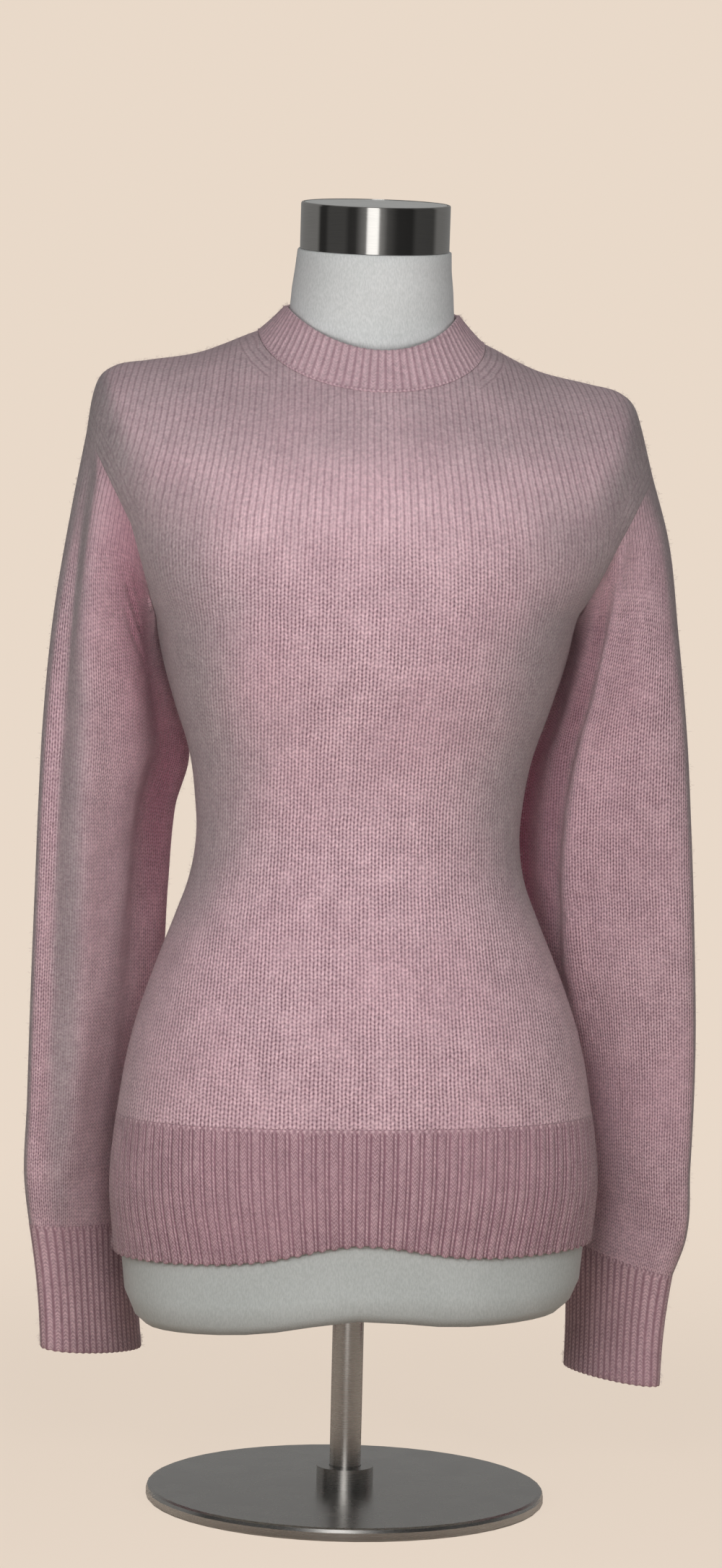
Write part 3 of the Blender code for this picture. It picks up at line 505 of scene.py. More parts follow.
def lengths_along(grid: Array, axis: int, closed: bool = False) -> Array:
    """Distance travelled along each line of a grid, from its start.

    Args:
        grid: Points, rows by columns by 3.
        axis: 0 for distances up the columns, 1 for distances along the rows.
        closed: Whether to add one more entry for the step back to the start.

    Returns:
        Distances with the grid's shape, one longer along the axis where closed.
    """
    if closed:
        grid = np.concatenate([grid, np.take(grid, [0], axis=axis)], axis=axis)
    steps = np.linalg.norm(np.diff(grid, axis=axis), axis=-1)
    start = np.zeros_like(np.take(steps, [0], axis=axis))
    return np.cumsum(np.concatenate([start, steps], axis=axis), axis=axis)


def loop_angles(count: int) -> Array:
    """Even angles round a closed loop, in radians."""
    return 2 * np.pi * np.arange(count) / count


def oval_ring(side: Side, oval: Oval, angles: Array) -> Array:
    """Points round one oval of a sleeve: 0 is its outer end, a quarter turn its front."""
    cos, sin = np.cos(angles), np.sin(angles)
    x = (oval.outer_out + oval.inner_out) / 2 + (oval.outer_out - oval.inner_out) / 2 * cos
    y = oval.middle_y - oval.slant / 2 * cos - oval.depth * sin
    z = (oval.outer_height + oval.inner_height) / 2
    z = z + (oval.outer_height - oval.inner_height) / 2 * cos
    return np.stack([side * x, y, z], axis=-1)


def drawn_back(grid: Array, edges: Sequence[tuple], gap: float) -> Array:
    """The grid with its seam edges moved into the piece by half of the seam's gap."""
    grid = grid.copy()
    for edge, neighbour in edges:
        grid[edge] = grid[edge] + unit(grid[neighbour] - grid[edge]) * gap / 2
    return grid


FIRST_ROW, LAST_ROW = (np.s_[0], np.s_[1]), (np.s_[-1], np.s_[-2])
FIRST_COLUMN, LAST_COLUMN = (np.s_[:, 0], np.s_[:, 1]), (np.s_[:, -1], np.s_[:, -2])


# ---- Meshes


def link_mesh(name: str, points: Array, loops: Array, sizes: Array) -> Piece:
    """A smooth-shaded mesh object from whole arrays.

    Args:
        name: The piece's name.
        points: Vertex positions.
        loops: Vertex numbers of all face corners, face after face.
        sizes: Number of corners of each face.

    Returns:
        The object, linked to the scene.
    """
    mesh = bpy.data.meshes.new(name)
    mesh.vertices.add(len(points))
    mesh.vertices.foreach_set("co", np.asarray(points, np.float32).ravel())
    mesh.loops.add(len(loops))
    mesh.loops.foreach_set("vertex_index", np.asarray(loops, np.int32))
    mesh.polygons.add(len(sizes))
    starts = np.concatenate([[0], np.cumsum(sizes)[:-1]])
    mesh.polygons.foreach_set("loop_start", starts.astype(np.int32))
    mesh.update(calc_edges=True)
    mesh.polygons.foreach_set("use_smooth", np.ones(len(sizes), bool))
    made = bpy.data.objects.new(name, mesh)
    bpy.context.scene.collection.objects.link(made)
    return made


def turn_outwards(piece: Piece) -> None:
    """Points the faces of a closed mesh outwards."""
    work = bmesh.new()
    work.from_mesh(piece.data)
    bmesh.ops.recalc_face_normals(work, faces=work.faces)
    work.to_mesh(piece.data)
    work.free()


@dataclass
class Wall:
    """A sheet of knit between an outer and an inner grid of points, with closed edges.

    The four rims run from the outer edge to the inner one. A rim in round_rows bulges out in a half
    circle: middle + (outer - middle) cos a + tangent r sin a, for a from 0 to a half turn.
    """

    name: str
    outer: Array
    inner: Array
    closed: bool
    stitches: Array  # wale and course of each point; one column more than the grid where closed
    edge_band: Array | None = None  # distance to the fashioned edge, and how far the band counts
    nap: Array | None = None  # how much painted sheen and shade grey it, and how much painted valley shade darkens it
    round_rows: tuple[int, ...] = ()
    edges: tuple = ()  # seam edges, drawn back by half of the gap
    gap: float = 0.0001
    rim_steps: int = 4
    crisp: float = 62.0  # edges that turn more than this, in degrees, are shaded sharp

    def __post_init__(self) -> None:
        """Draws the seam edges of both grids back."""
        self.outer = drawn_back(self.outer, self.edges, self.gap)
        self.inner = drawn_back(self.inner, self.edges, self.gap)

    def rim(self, row: int) -> Array:
        """Points of a rounded rim between the outer and the inner edge of one end row."""
        neighbour = 1 if row == 0 else -2
        first, last = self.outer[row], self.inner[row]
        middle, half = (first + last) / 2, (first - last) / 2
        tangent = unit(first - self.outer[neighbour])
        radius = np.linalg.norm(half, axis=-1, keepdims=True)
        angles = np.pi * np.arange(1, self.rim_steps) / self.rim_steps
        return np.stack([middle + half * np.cos(a) + tangent * radius * np.sin(a) for a in angles])

    def profile(self) -> tuple[Array, Array]:
        """The wall as one loop of rows: up the outer face, over the rim, down the inner face, back."""
        rows = len(self.outer)
        stack, source = [self.outer], [np.arange(rows)]
        if -1 in self.round_rows:
            stack.append(self.rim(-1))
            source.append(np.full(self.rim_steps - 1, rows - 1))
        stack.append(self.inner[::-1])
        source.append(np.arange(rows)[::-1])
        if 0 in self.round_rows:
            stack.append(self.rim(0)[::-1])
            source.append(np.zeros(self.rim_steps - 1, int))
        return np.concatenate(stack), np.concatenate(source)

    def build(self, look: Material) -> Piece:
        """Makes the mesh with its UV maps.

        Args:
            look: The material.

        Returns:
            The object, with its faces turned outwards.
        """
        points, source = self.profile()
        count, columns = points.shape[:2]
        index = np.arange(count * columns).reshape(count, columns)
        index = np.concatenate([index, index[:1]])
        source = np.concatenate([source, source[:1]])
        if self.closed:
            index = np.concatenate([index, index[:, :1]], axis=1)
        wide = index.shape[1]
        row, column = np.meshgrid(np.arange(count), np.arange(wide - 1), indexing="ij")
        corners = ((0, 0), (0, 1), (1, 1), (1, 0))
        rows = np.stack([row + r for r, _ in corners], axis=-1).reshape(-1, 4)
        cols = np.stack([column + c for _, c in corners], axis=-1).reshape(-1, 4)
        loops, sizes = index[rows, cols].ravel(), np.full(len(rows), 4)
        named = {"stitches": self.stitches, "edge_band": self.edge_band, "nap": self.nap}
        named = {key: grid for key, grid in named.items() if grid is not None}
        maps = {key: grid[source[rows], cols].reshape(-1, 2) for key, grid in named.items()}
        if not self.closed:
            half, tip = len(self.outer), self.rim_steps - 1
            steps = np.arange(half)
            sources = np.stack([steps[:-1], steps[1:], steps[1:], steps[:-1]], axis=-1).ravel()
            for end in (0, wide - 1):
                cap = index[:-1, end]
                far = cap[half + tip * (-1 in self.round_rows) :][:half][::-1]
                quads = np.stack([cap[: half - 1], cap[1:half], far[1:], far[:-1]], axis=-1)
                loops = np.concatenate([loops, quads.ravel()])
                sizes = np.concatenate([sizes, np.full(half - 1, 4)])
                rows_at = sources
                if 0 in self.round_rows:
                    ring = np.concatenate([far[:1], cap[-tip:], cap[:1]])
                    loops, sizes = np.concatenate([loops, ring]), np.append(sizes, len(ring))
                    rows_at = np.concatenate([sources, np.zeros(len(ring), int)])
                for key, grid in named.items():
                    maps[key] = np.concatenate([maps[key], grid[rows_at, end]])
        piece = link_mesh(self.name, points.reshape(-1, 3), loops, sizes)
        for key, values in maps.items():
            layer = piece.data.uv_layers.new(name=key)
            layer.data.foreach_set("uv", np.asarray(values, np.float32).ravel())
        piece.data.uv_layers["stitches"].active_render = True
        turn_outwards(piece)
        piece.data.set_sharp_from_angle(angle=math.radians(self.crisp))
        piece.data.materials.append(look)
        return piece


# ---- Shader maths


class Value:
    """A number on its way through a material, written as a Python expression."""

    def __init__(self, graph: "Graph", socket: Socket) -> None:
        """Wraps an output socket of the graph."""
        self.graph, self.socket = graph, socket

    def _math(self, operation: str, *values: "Value | float") -> "Value":
        """A Math node over some values."""
        settings, sockets = {"operation": operation}, dict(enumerate(values))
        return Value(self.graph, self.graph.node("ShaderNodeMath", settings, sockets).outputs[0])

    def __add__(self, other: "Value | float") -> "Value":
        """self + other."""
        return self._math("ADD", self, other)

    __radd__ = __add__

    def __sub__(self, other: "Value | float") -> "Value":
        """self - other."""
        return self._math("SUBTRACT", self, other)

    def __rsub__(self, other: float) -> "Value":
        """other - self."""
        return self._math("SUBTRACT", other, self)

    def __mul__(self, other: "Value | float") -> "Value":
        """self * other."""
        return self._math("MULTIPLY", self, other)

    __rmul__ = __mul__

    def __pow__(self, other: float) -> "Value":
        """self ** other."""
        return self._math("POWER", self, other)

    def __abs__(self) -> "Value":
        """The size of the value without its sign."""
        return self._math("ABSOLUTE", self)

    def part(self) -> "Value":
        """What is left after the whole number."""
        return self._math("FRACT", self)

    def sine(self) -> "Value":
        """The sine of the value in radians."""
        return self._math("SINE", self)

    def turn_to(self, other: "Value") -> "Value":
        """The angle in radians whose sine is this value and whose cosine is the other."""
        return self._math("ARCTAN2", self, other)

    def between(self, low: float, high: float) -> "Value":
        """A smooth step from 0 at low to 1 at high; high may be the smaller one."""
        if high < low:
            return 1 - self.between(high, low)
        sockets = {"Value": self, "From Min": low, "From Max": high}
        node = self.graph.node("ShaderNodeMapRange", {"interpolation_type": "SMOOTHSTEP"}, sockets)
        return Value(self.graph, node.outputs["Result"])


class Graph:
    """The node tree of one material or world, cleared first."""

    def __init__(self, owner: Material | bpy.types.World) -> None:
        """Takes over the owner's nodes."""
        self.owner = owner
        owner.use_nodes = True
        self.tree = owner.node_tree
        self.tree.nodes.clear()

    def node(self, kind: str, settings: dict, sockets: dict) -> bpy.types.Node:
        """Adds a node.

        Args:
            kind: The node's type.
            settings: Properties that are set first; "stops" are a colour ramp's.
            sockets: Values or links by socket name or number.

        Returns:
            The node.
        """
        made = self.tree.nodes.new(kind)
        for key, value in settings.items():
            if key == "stops":
                ramp = made.color_ramp.elements
                while len(ramp) < len(value):
                    ramp.new(0.5)
                for element, (place, colour) in zip(ramp, value):
                    element.position, element.color = place, (*colour, 1)
            else:
                setattr(made, key, value)
        for key, value in sockets.items():
            if isinstance(value, Value):
                value = value.socket
            if isinstance(value, Socket):
                self.tree.links.new(value, made.inputs[key])
            elif isinstance(value, tuple) and len(value) == 3 and made.inputs[key].type == "RGBA":
                made.inputs[key].default_value = (*value, 1)
            else:
                made.inputs[key].default_value = value
        return made

    @cached_property
    def place(self) -> Socket:
        """Object coordinates."""
        return self.node("ShaderNodeTexCoord", {}, {}).outputs["Object"]

    def split(self, vector: Socket) -> tuple[Value, Value, Value]:
        """The three numbers of a vector."""
        outputs = self.node("ShaderNodeSeparateXYZ", {}, {0: vector}).outputs
        return tuple(Value(self, out) for out in outputs)

    def uv(self, name: str) -> Socket:
        """A UV map of the piece."""
        return self.node("ShaderNodeUVMap", {"uv_map": name}, {}).outputs[0]

    def noise(self, scale: float, detail: float = 3.0, stretch: Triple | None = None) -> Value:
        """Cloudy noise about 0.5.

        Args:
            scale: How fine it is, in lumps to a metre.
            detail: How many finer layers it has.
            stretch: What the coordinates are first multiplied by along each axis.

        Returns:
            The noise.
        """
        vector = self.place
        if stretch is not None:
            sockets = {"Vector": vector, "Scale": stretch}
            vector = self.node("ShaderNodeMapping", {}, sockets).outputs[0]
        sockets = {"Vector": vector, "Scale": scale, "Detail": detail}
        return Value(self, self.node("ShaderNodeTexNoise", {}, sockets).outputs[0])

    def blend(
        self,
        factor: Value | float,
        first: Colour | Socket,
        second: Colour | Socket,
        way: str = "MIX",
    ) -> Socket:
        """One colour passing into another.

        Args:
            factor: 0 for the first colour, 1 for the second.
            first: A colour or a link.
            second: A colour or a link.
            way: How the second is laid on the first.

        Returns:
            The mixed colour.
        """
        settings = {"data_type": "RGBA", "blend_type": way, "clamp_factor": True}
        node = self.node("ShaderNodeMix", settings, {"Factor": factor})
        for socket, value in ((node.inputs[6], first), (node.inputs[7], second)):
            if isinstance(value, tuple):
                socket.default_value = (*value, 1)
            else:
                self.tree.links.new(value, socket)
        return node.outputs[2]

    def bump(self, height: Value, distance: float, strength: float) -> Socket:
        """A Bump node over a height."""
        sockets = {"Height": height, "Distance": distance, "Strength": strength}
        return self.node("ShaderNodeBump", {}, sockets).outputs[0]

    def finish(self, sockets: dict) -> Material:
        """Adds the main shader and the output."""
        shader = self.node("ShaderNodeBsdfPrincipled", {}, sockets)
        output = self.node("ShaderNodeOutputMaterial", {}, {})
        self.tree.links.new(shader.outputs[0], output.inputs["Surface"])
        return self.owner


# ---- Finishes

# How fine each noise is, in lumps to a metre
HAIR, SPECK, SHEEN_HAZE, JITTER, LUMPS = 1000.0, 420.0, 380.0, 210.0, 150.0
EDGE_WOBBLE, RIB_EVENNESS, EVENNESS, WOBBLE, MOTTLE = 120.0, 90.0, 85.0, 60.0, 38.0
SHEEN_SHADE_CLOUD, FADE_CLOUD, TONE_CLOUD = 24.0, 16.0, 9.0


@dataclass(frozen=True)
class Yarn:
    """The brushed pink yarn of every knitted piece."""

    light: Colour = (0.840, 0.600, 0.645)
    middle: Colour = (0.620, 0.400, 0.450)
    dark: Colour = (0.300, 0.155, 0.195)
    rosy: Colour = (0.655, 0.400, 0.462)
    roughness: float = 0.92
    specular: float = 0.12
    sheen: float = 0.35
    sheen_roughness: float = 0.45
    sheen_tint: Colour = (0.74, 0.77, 0.74)
    heather_dark: Colour = (0.80, 0.79, 0.80)
    heather_light: Colour = (1.16, 1.17, 1.16)
    # painted sheen and shade: the greyer, darker tint laid where the knit turns to the side
    nap: Colour = (0.68, 0.82, 0.77)
    # painted shade: the darker, redder tint laid in the valleys between sleeve and body
    valley_shade: Colour = (0.64, 0.39, 0.48)
    to_middle: Pair = (0.0, 0.70)  # heights over which dark passes into middle
    to_light: Pair = (0.60, 1.05)
    clouds: Pair = (0.42, 0.68)
    cloud_depth: float = 0.30
    hair_shade: float = 0.22
    hair_relief: float = 0.30

    def sheen_shade_amount(self, graph: Graph) -> Value:
        """How much painted sheen and shade grey the knit, 0 to 1, from the piece's map."""
        amount = graph.split(graph.uv("nap"))[0] + (graph.noise(SHEEN_SHADE_CLOUD) - 0.5) * 0.4
        return amount.between(0.0, 1.0)

    def coloured(
        self, graph: Graph, height: Value, sheen_shade_amount: Value | None = None
    ) -> Socket:
        """Colour from the stitch height: dark between the legs, light on them, cloudy all over.

        Args:
            graph: The material's graph.
            height: Stitch height, 0 to 1.
            sheen_shade_amount: How much painted sheen and shade grey it, on a piece that has a map of
                it.

        Returns:
            The colour.
        """
        low = graph.blend(height.between(*self.to_middle), self.dark, self.middle)
        tone = graph.blend(height.between(*self.to_light), low, self.light)
        cloud = graph.noise(TONE_CLOUD).between(*self.clouds) * self.cloud_depth
        tone = graph.blend(cloud, tone, self.rosy)
        speck = graph.noise(SPECK, 4.0) * 0.7 + graph.noise(MOTTLE, 4.0) * 0.3
        heather = graph.blend(speck.between(0.25, 0.75), self.heather_dark, self.heather_light)
        tone = graph.blend(1.0, tone, heather, "MULTIPLY")
        if sheen_shade_amount is None:
            return tone
        # Painted sheen and shade grey the sides, and painted shade darkens the valleys by the body.
        tone = graph.blend(sheen_shade_amount, tone, self.nap, "MULTIPLY")
        return graph.blend(graph.split(graph.uv("nap"))[1], tone, self.valley_shade, "MULTIPLY")

    def material(
        self,
        graph: Graph,
        height: Value,
        waves: Value,
        relief: Pair,
        sheen_shade_amount: Value | None,
    ) -> Material:
        """The finished material of knitted yarn, with fine hair over its stitches.

        Args:
            graph: The material's graph.
            height: Stitch height, 0 to 1.
            waves: The height with the unevenness that only the relief has.
            relief: How deep the stitches look, in metres, and how much of that shows.
            sheen_shade_amount: How much painted sheen and shade grey it, on a piece that has a map of
                it.

        Returns:
            The material.
        """
        hair = graph.noise(HAIR)
        hairy = height + (hair - 0.5) * self.hair_shade
        return graph.finish(
            {
                "Base Color": self.coloured(graph, hairy, sheen_shade_amount),
                "Normal": graph.bump(waves + hair * self.hair_relief, *relief),
                "Roughness": self.roughness,
                "Specular IOR Level": self.specular,
                "Sheen Weight": self.sheen,
                "Sheen Roughness": self.sheen_roughness,
                "Sheen Tint": self.sheen_tint,
            }
        )


# A darker copy of the yarn for the hem and cuffs: painted shade, for ribs that get less light.
SHADED_RIB_YARN = Yarn(
    light=(0.745, 0.522, 0.560), middle=(0.470, 0.292, 0.330), rosy=(0.508, 0.302, 0.350)
)


@dataclass(frozen=True)
class PlainKnit:
    """Plain knit: each wale is a column of V stitches, two strands side by side.

    With s the distance from the wale's middle line (0) to its edge (1), dark gaps lie in columns at
    s = 0 and s = 1, one to a course, those at the edge half a course lower. The strands between them
    are the light ones.
    """

    name: str
    yarn: Yarn = Yarn()
    relief: Pair = (0.0010, 0.85)  # in metres, and how much of it shows
    sway: Pair = (0.32, 1.6)  # how far wales and courses wander, in stitches
    jitter: float = 0.8
    column_dark: float = 0.52  # how dark the line of gaps is between the gaps
    gap_power: float = 2.0
    gap_dark: float = 1.14
    twist: float = 0.19  # how dark the line between two strands is
    plain_from: float = 0.640  # from here up the wales pass into straight cords
    plain_to: float = 0.722
    plain: float = 0.9  # how far they do
    fade_wander: float = 0.03
    cord_dark: float = 0.56
    cord_middle: float = 0.14
    sheen_hides: float = 0.55  # how much of the stitches the painted side sheen and shade hide
    lump_shade: float = 0.18
    lump_relief: float = 0.5
    band_ends: Pair = (0.0180, 0.0140)  # the edge's band of wales fades in between
    band_pitch: float = 0.0048
    band_wander: float = 0.0012

    def legs(self, across: Value, along: Value, cords: Value, even: Value) -> Value:
        """The height of the stitches, 0 to 1."""
        side = abs(across.part() - 0.5) * 2
        turn = ((along + side * 0.5) * (2 * math.pi)).sine() * 0.5 + 0.5
        column = abs(side * 2 - 1) ** self.gap_power
        gaps = column * (turn**1.3 * (self.gap_dark - self.column_dark) + self.column_dark) * even
        strand = (1 - column) * turn * self.twist
        dashes = turn * 0.2 + 0.8
        plain = (side**2.4 * self.cord_dark + (1 - side) ** 5 * self.cord_middle) * dashes
        dark = (gaps + strand) * (1 - cords) + plain * cords
        return 1 - dark

    def material(self, fashioned: bool) -> Material:
        """Builds the material.

        Args:
            fashioned: Whether the piece has wales that run along its shaped edges.

        Returns:
            The material.
        """
        graph = Graph(bpy.data.materials.new(self.name))
        wale, course, _ = graph.split(graph.uv("stitches"))
        wobble = graph.noise(WOBBLE) - 0.5
        jitter = graph.noise(JITTER, 2.0) - 0.5
        across = wale + wobble * self.sway[0]
        along = course + wobble * self.sway[1] + jitter * self.jitter
        fading = graph.split(graph.place)[2] + graph.noise(FADE_CLOUD, 2.0) * self.fade_wander
        cords = fading.between(self.plain_from, self.plain_to) * self.plain
        even = graph.noise(EVENNESS).between(0.30, 0.62) * 0.35 + 0.70
        legs = self.legs(across, along, cords, even)
        if fashioned:
            away, reach, _ = graph.split(graph.uv("edge_band"))
            away = away + (graph.noise(EDGE_WOBBLE, 2.0) - 0.5) * self.band_wander
            band = away.between(*self.band_ends) * reach.between(0.05, 0.9)
            wales = away * (1 / self.band_pitch) + wobble * 0.3
            legs = legs * (1 - band) + self.legs(wales, along, cords * 0 + self.plain, even) * band
        # Painted sheen and shade: where the knit turns to the side, its colour greys and its stitches
        # blur.
        sheen_shade_amount = self.yarn.sheen_shade_amount(graph)
        sheen_haze = graph.noise(SHEEN_HAZE, 4.0) * 0.9 + 0.25
        hidden = sheen_shade_amount * self.sheen_hides
        lumps = graph.noise(LUMPS) - 0.5
        legs = legs * (1 - hidden) + sheen_haze * hidden
        waves = legs + lumps * self.lump_relief
        return self.yarn.material(graph, legs + lumps * self.lump_shade, waves, self.relief, sheen_shade_amount)


@dataclass(frozen=True)
class RibKnit:
    """Rib knit: the ribs stand in the mesh, and the stitches on them are small chevrons.

    The stitch map's second number counts courses from the row where the rib is linked on, which has a
    small light loop at each half rib and a dark gap between loops.
    """

    name: str
    yarn: Yarn = Yarn()
    slope: float = 0.9
    sway: Pair = (0.10, 1.8)  # how far ribs and courses wander, in stitches
    relief: Pair = (0.0006, 0.7)  # in metres, and how much of it shows
    chevron: float = 0.34
    groove: float = 0.26
    broad: float = 0.64  # a broad band's share of the rib, two columns of stitches wide
    band_rise: Pair = (0.03, 0.12)
    band_fall: Pair = (0.68, 0.60)
    cord_rise: Pair = (0.70, 0.77)
    cord_fall: Pair = (0.97, 0.88)
    band_light: float = 0.86
    cord_light: float = 0.92

    def material(self, wide: bool) -> Material:
        """Builds the material.

        Args:
            wide: Whether the rib is a broad band with a thin cord beside it, as in the hem.

        Returns:
            The material.
        """
        graph = Graph(bpy.data.materials.new(self.name))
        rib, course, _ = graph.split(graph.uv("stitches"))
        wobble = graph.noise(WOBBLE) - 0.5
        phase = (rib + wobble * self.sway[0]).part()
        if wide:
            band = phase.between(*self.band_rise) * phase.between(*self.band_fall)
            cord = phase.between(*self.cord_rise) * phase.between(*self.cord_fall)
            side = abs((phase * (2 / self.broad)).part() - 0.5) * 2
            top = band * self.band_light + cord * self.cord_light
            fine = band + cord * 0.7
        else:
            side = abs(phase - 0.5) * 2
            top = side.between(1.0, 0.40)
            fine = top
        stroke = course + wobble * self.sway[1] - side * self.slope
        stroke = (stroke * (2 * math.pi)).sine() * 0.5 + 0.5
        even = graph.noise(RIB_EVENNESS).between(0.25, 0.60) * 0.5 + 0.5
        stitches = 1 - fine * stroke * even * self.chevron
        ribs = (top * (1 - self.groove) + self.groove) * stitches
        loops = (rib * (4 * math.pi)).sine() * 0.3 + 0.7
        linked = course.between(1.3, 0.5) * course.between(0.0, 0.4)
        height = ribs * (1 - linked) + loops * linked
        # The hem carries the painted sheen and shade of the sides.
        sheen_shade_amount = self.yarn.sheen_shade_amount(graph) if wide else None
        return self.yarn.material(graph, height, height, self.relief, sheen_shade_amount)


@dataclass(frozen=True)
class LooseFibre:
    """The pale fibres that stand off the yarn."""

    name: str = "loose_fibre"
    dark: Colour = (0.62, 0.47, 0.50)
    light: Colour = (0.70, 0.56, 0.58)
    clouds: float = 30.0  # to a metre

    def material(self) -> Material:
        """Builds the material."""
        graph = Graph(bpy.data.materials.new(self.name))
        tone = graph.blend(graph.noise(self.clouds, 2.0), self.dark, self.light)
        return graph.finish({"Base Color": tone, "Roughness": 0.9, "Specular IOR Level": 0.1})


@dataclass(frozen=True)
class Jersey:
    """The off-white jersey that covers the form: fine wales, a few faint pulls, and painted shade low
    down under the hem.
    """

    name: str = "form_jersey_cover"
    light: Colour = (0.94, 0.95, 0.94)
    dark: Colour = (0.74, 0.76, 0.745)
    low: Colour = (0.63, 0.65, 0.64)  # painted shade: how it darkens on its way down from shade_from to shade_to, under the hem
    shade_from: float = 0.30
    shade_to: float = 0.15
    wales: float = 1100.0  # how many wales, clouds and pulls there are to a metre
    clouds: float = 14.0
    pulls: float = 90.0

    def material(self) -> Material:
        """Builds the material."""
        graph = Graph(bpy.data.materials.new(self.name))
        fine = graph.noise(self.wales, stretch=(1.0, 1.0, 0.35))
        cloud = graph.noise(self.clouds, 4.0)
        pulls = graph.noise(self.pulls, 2.0, (0.35, 0.35, 1.0))
        mixed = cloud.between(0.3, 0.7) * 0.35 + fine.between(0.3, 0.7) * 0.65
        tone = graph.blend(mixed, self.dark, self.light)
        # Painted shade: the cover darkens towards the bottom, where the hem shades it.
        low = graph.split(graph.place)[2].between(self.shade_from, self.shade_to)
        tone = graph.blend(low, tone, self.low, "MULTIPLY")
        normal = graph.bump(fine * 0.25 + pulls * 0.8, 0.0007, 0.5)
        sockets = {"Roughness": 0.85, "Specular IOR Level": 0.2, "Sheen Weight": 0.15}
        return graph.finish({"Base Color": tone, "Normal": normal, **sockets})


@dataclass(frozen=True)
class BrushedSteel:
    """Brushed steel: fine lines that run round the piece, and faint wear."""

    name: str = "brushed_steel_finish"
    light: Colour = (0.62, 0.61, 0.59)
    dark: Colour = (0.44, 0.43, 0.42)
    roughness: float = 0.05
    lines: float = 2600.0  # how many lines and smears there are to a metre
    smears: float = 35.0

    def material(self) -> Material:
        """Builds the material."""
        graph = Graph(bpy.data.materials.new(self.name))
        lines = graph.noise(self.lines, 2.0, (0.02, 0.02, 1.0))
        smear = graph.noise(self.smears)
        tone = graph.blend(lines * 0.7 + smear * 0.3, self.dark, self.light)
        rough = lines * 0.07 + smear * 0.03 + self.roughness
        normal = graph.bump(lines, 0.00003, 0.15)
        sockets = {"Base Color": tone, "Metallic": 1.0, "Roughness": rough, "Normal": normal}
        return graph.finish(sockets)


@dataclass(frozen=True)
class MattPaint:
    """Matt pale grey, slightly scuffed, on the plate in the neck cap."""

    name: str = "matt_plate_paint"
    light: Colour = (0.93, 0.94, 0.91)
    dark: Colour = (0.84, 0.85, 0.82)
    scuffs: float = 60.0  # how many scuffs and grains there are to a metre
    grains: float = 700.0

    def material(self) -> Material:
        """Builds the material."""
        graph = Graph(bpy.data.materials.new(self.name))
        scuff = graph.noise(self.scuffs, 4.0)
        tone = graph.blend(scuff.between(0.35, 0.7), self.light, self.dark)
        normal = graph.bump(graph.noise(self.grains, 2.0), 0.0001, 0.3)
        rough = scuff * 0.25 + 0.38
        coat = {"Coat Weight": 1.0, "Coat Roughness": 0.15}
        return graph.finish({"Base Color": tone, "Roughness": rough, "Normal": normal, **coat})


# ---- The sweater


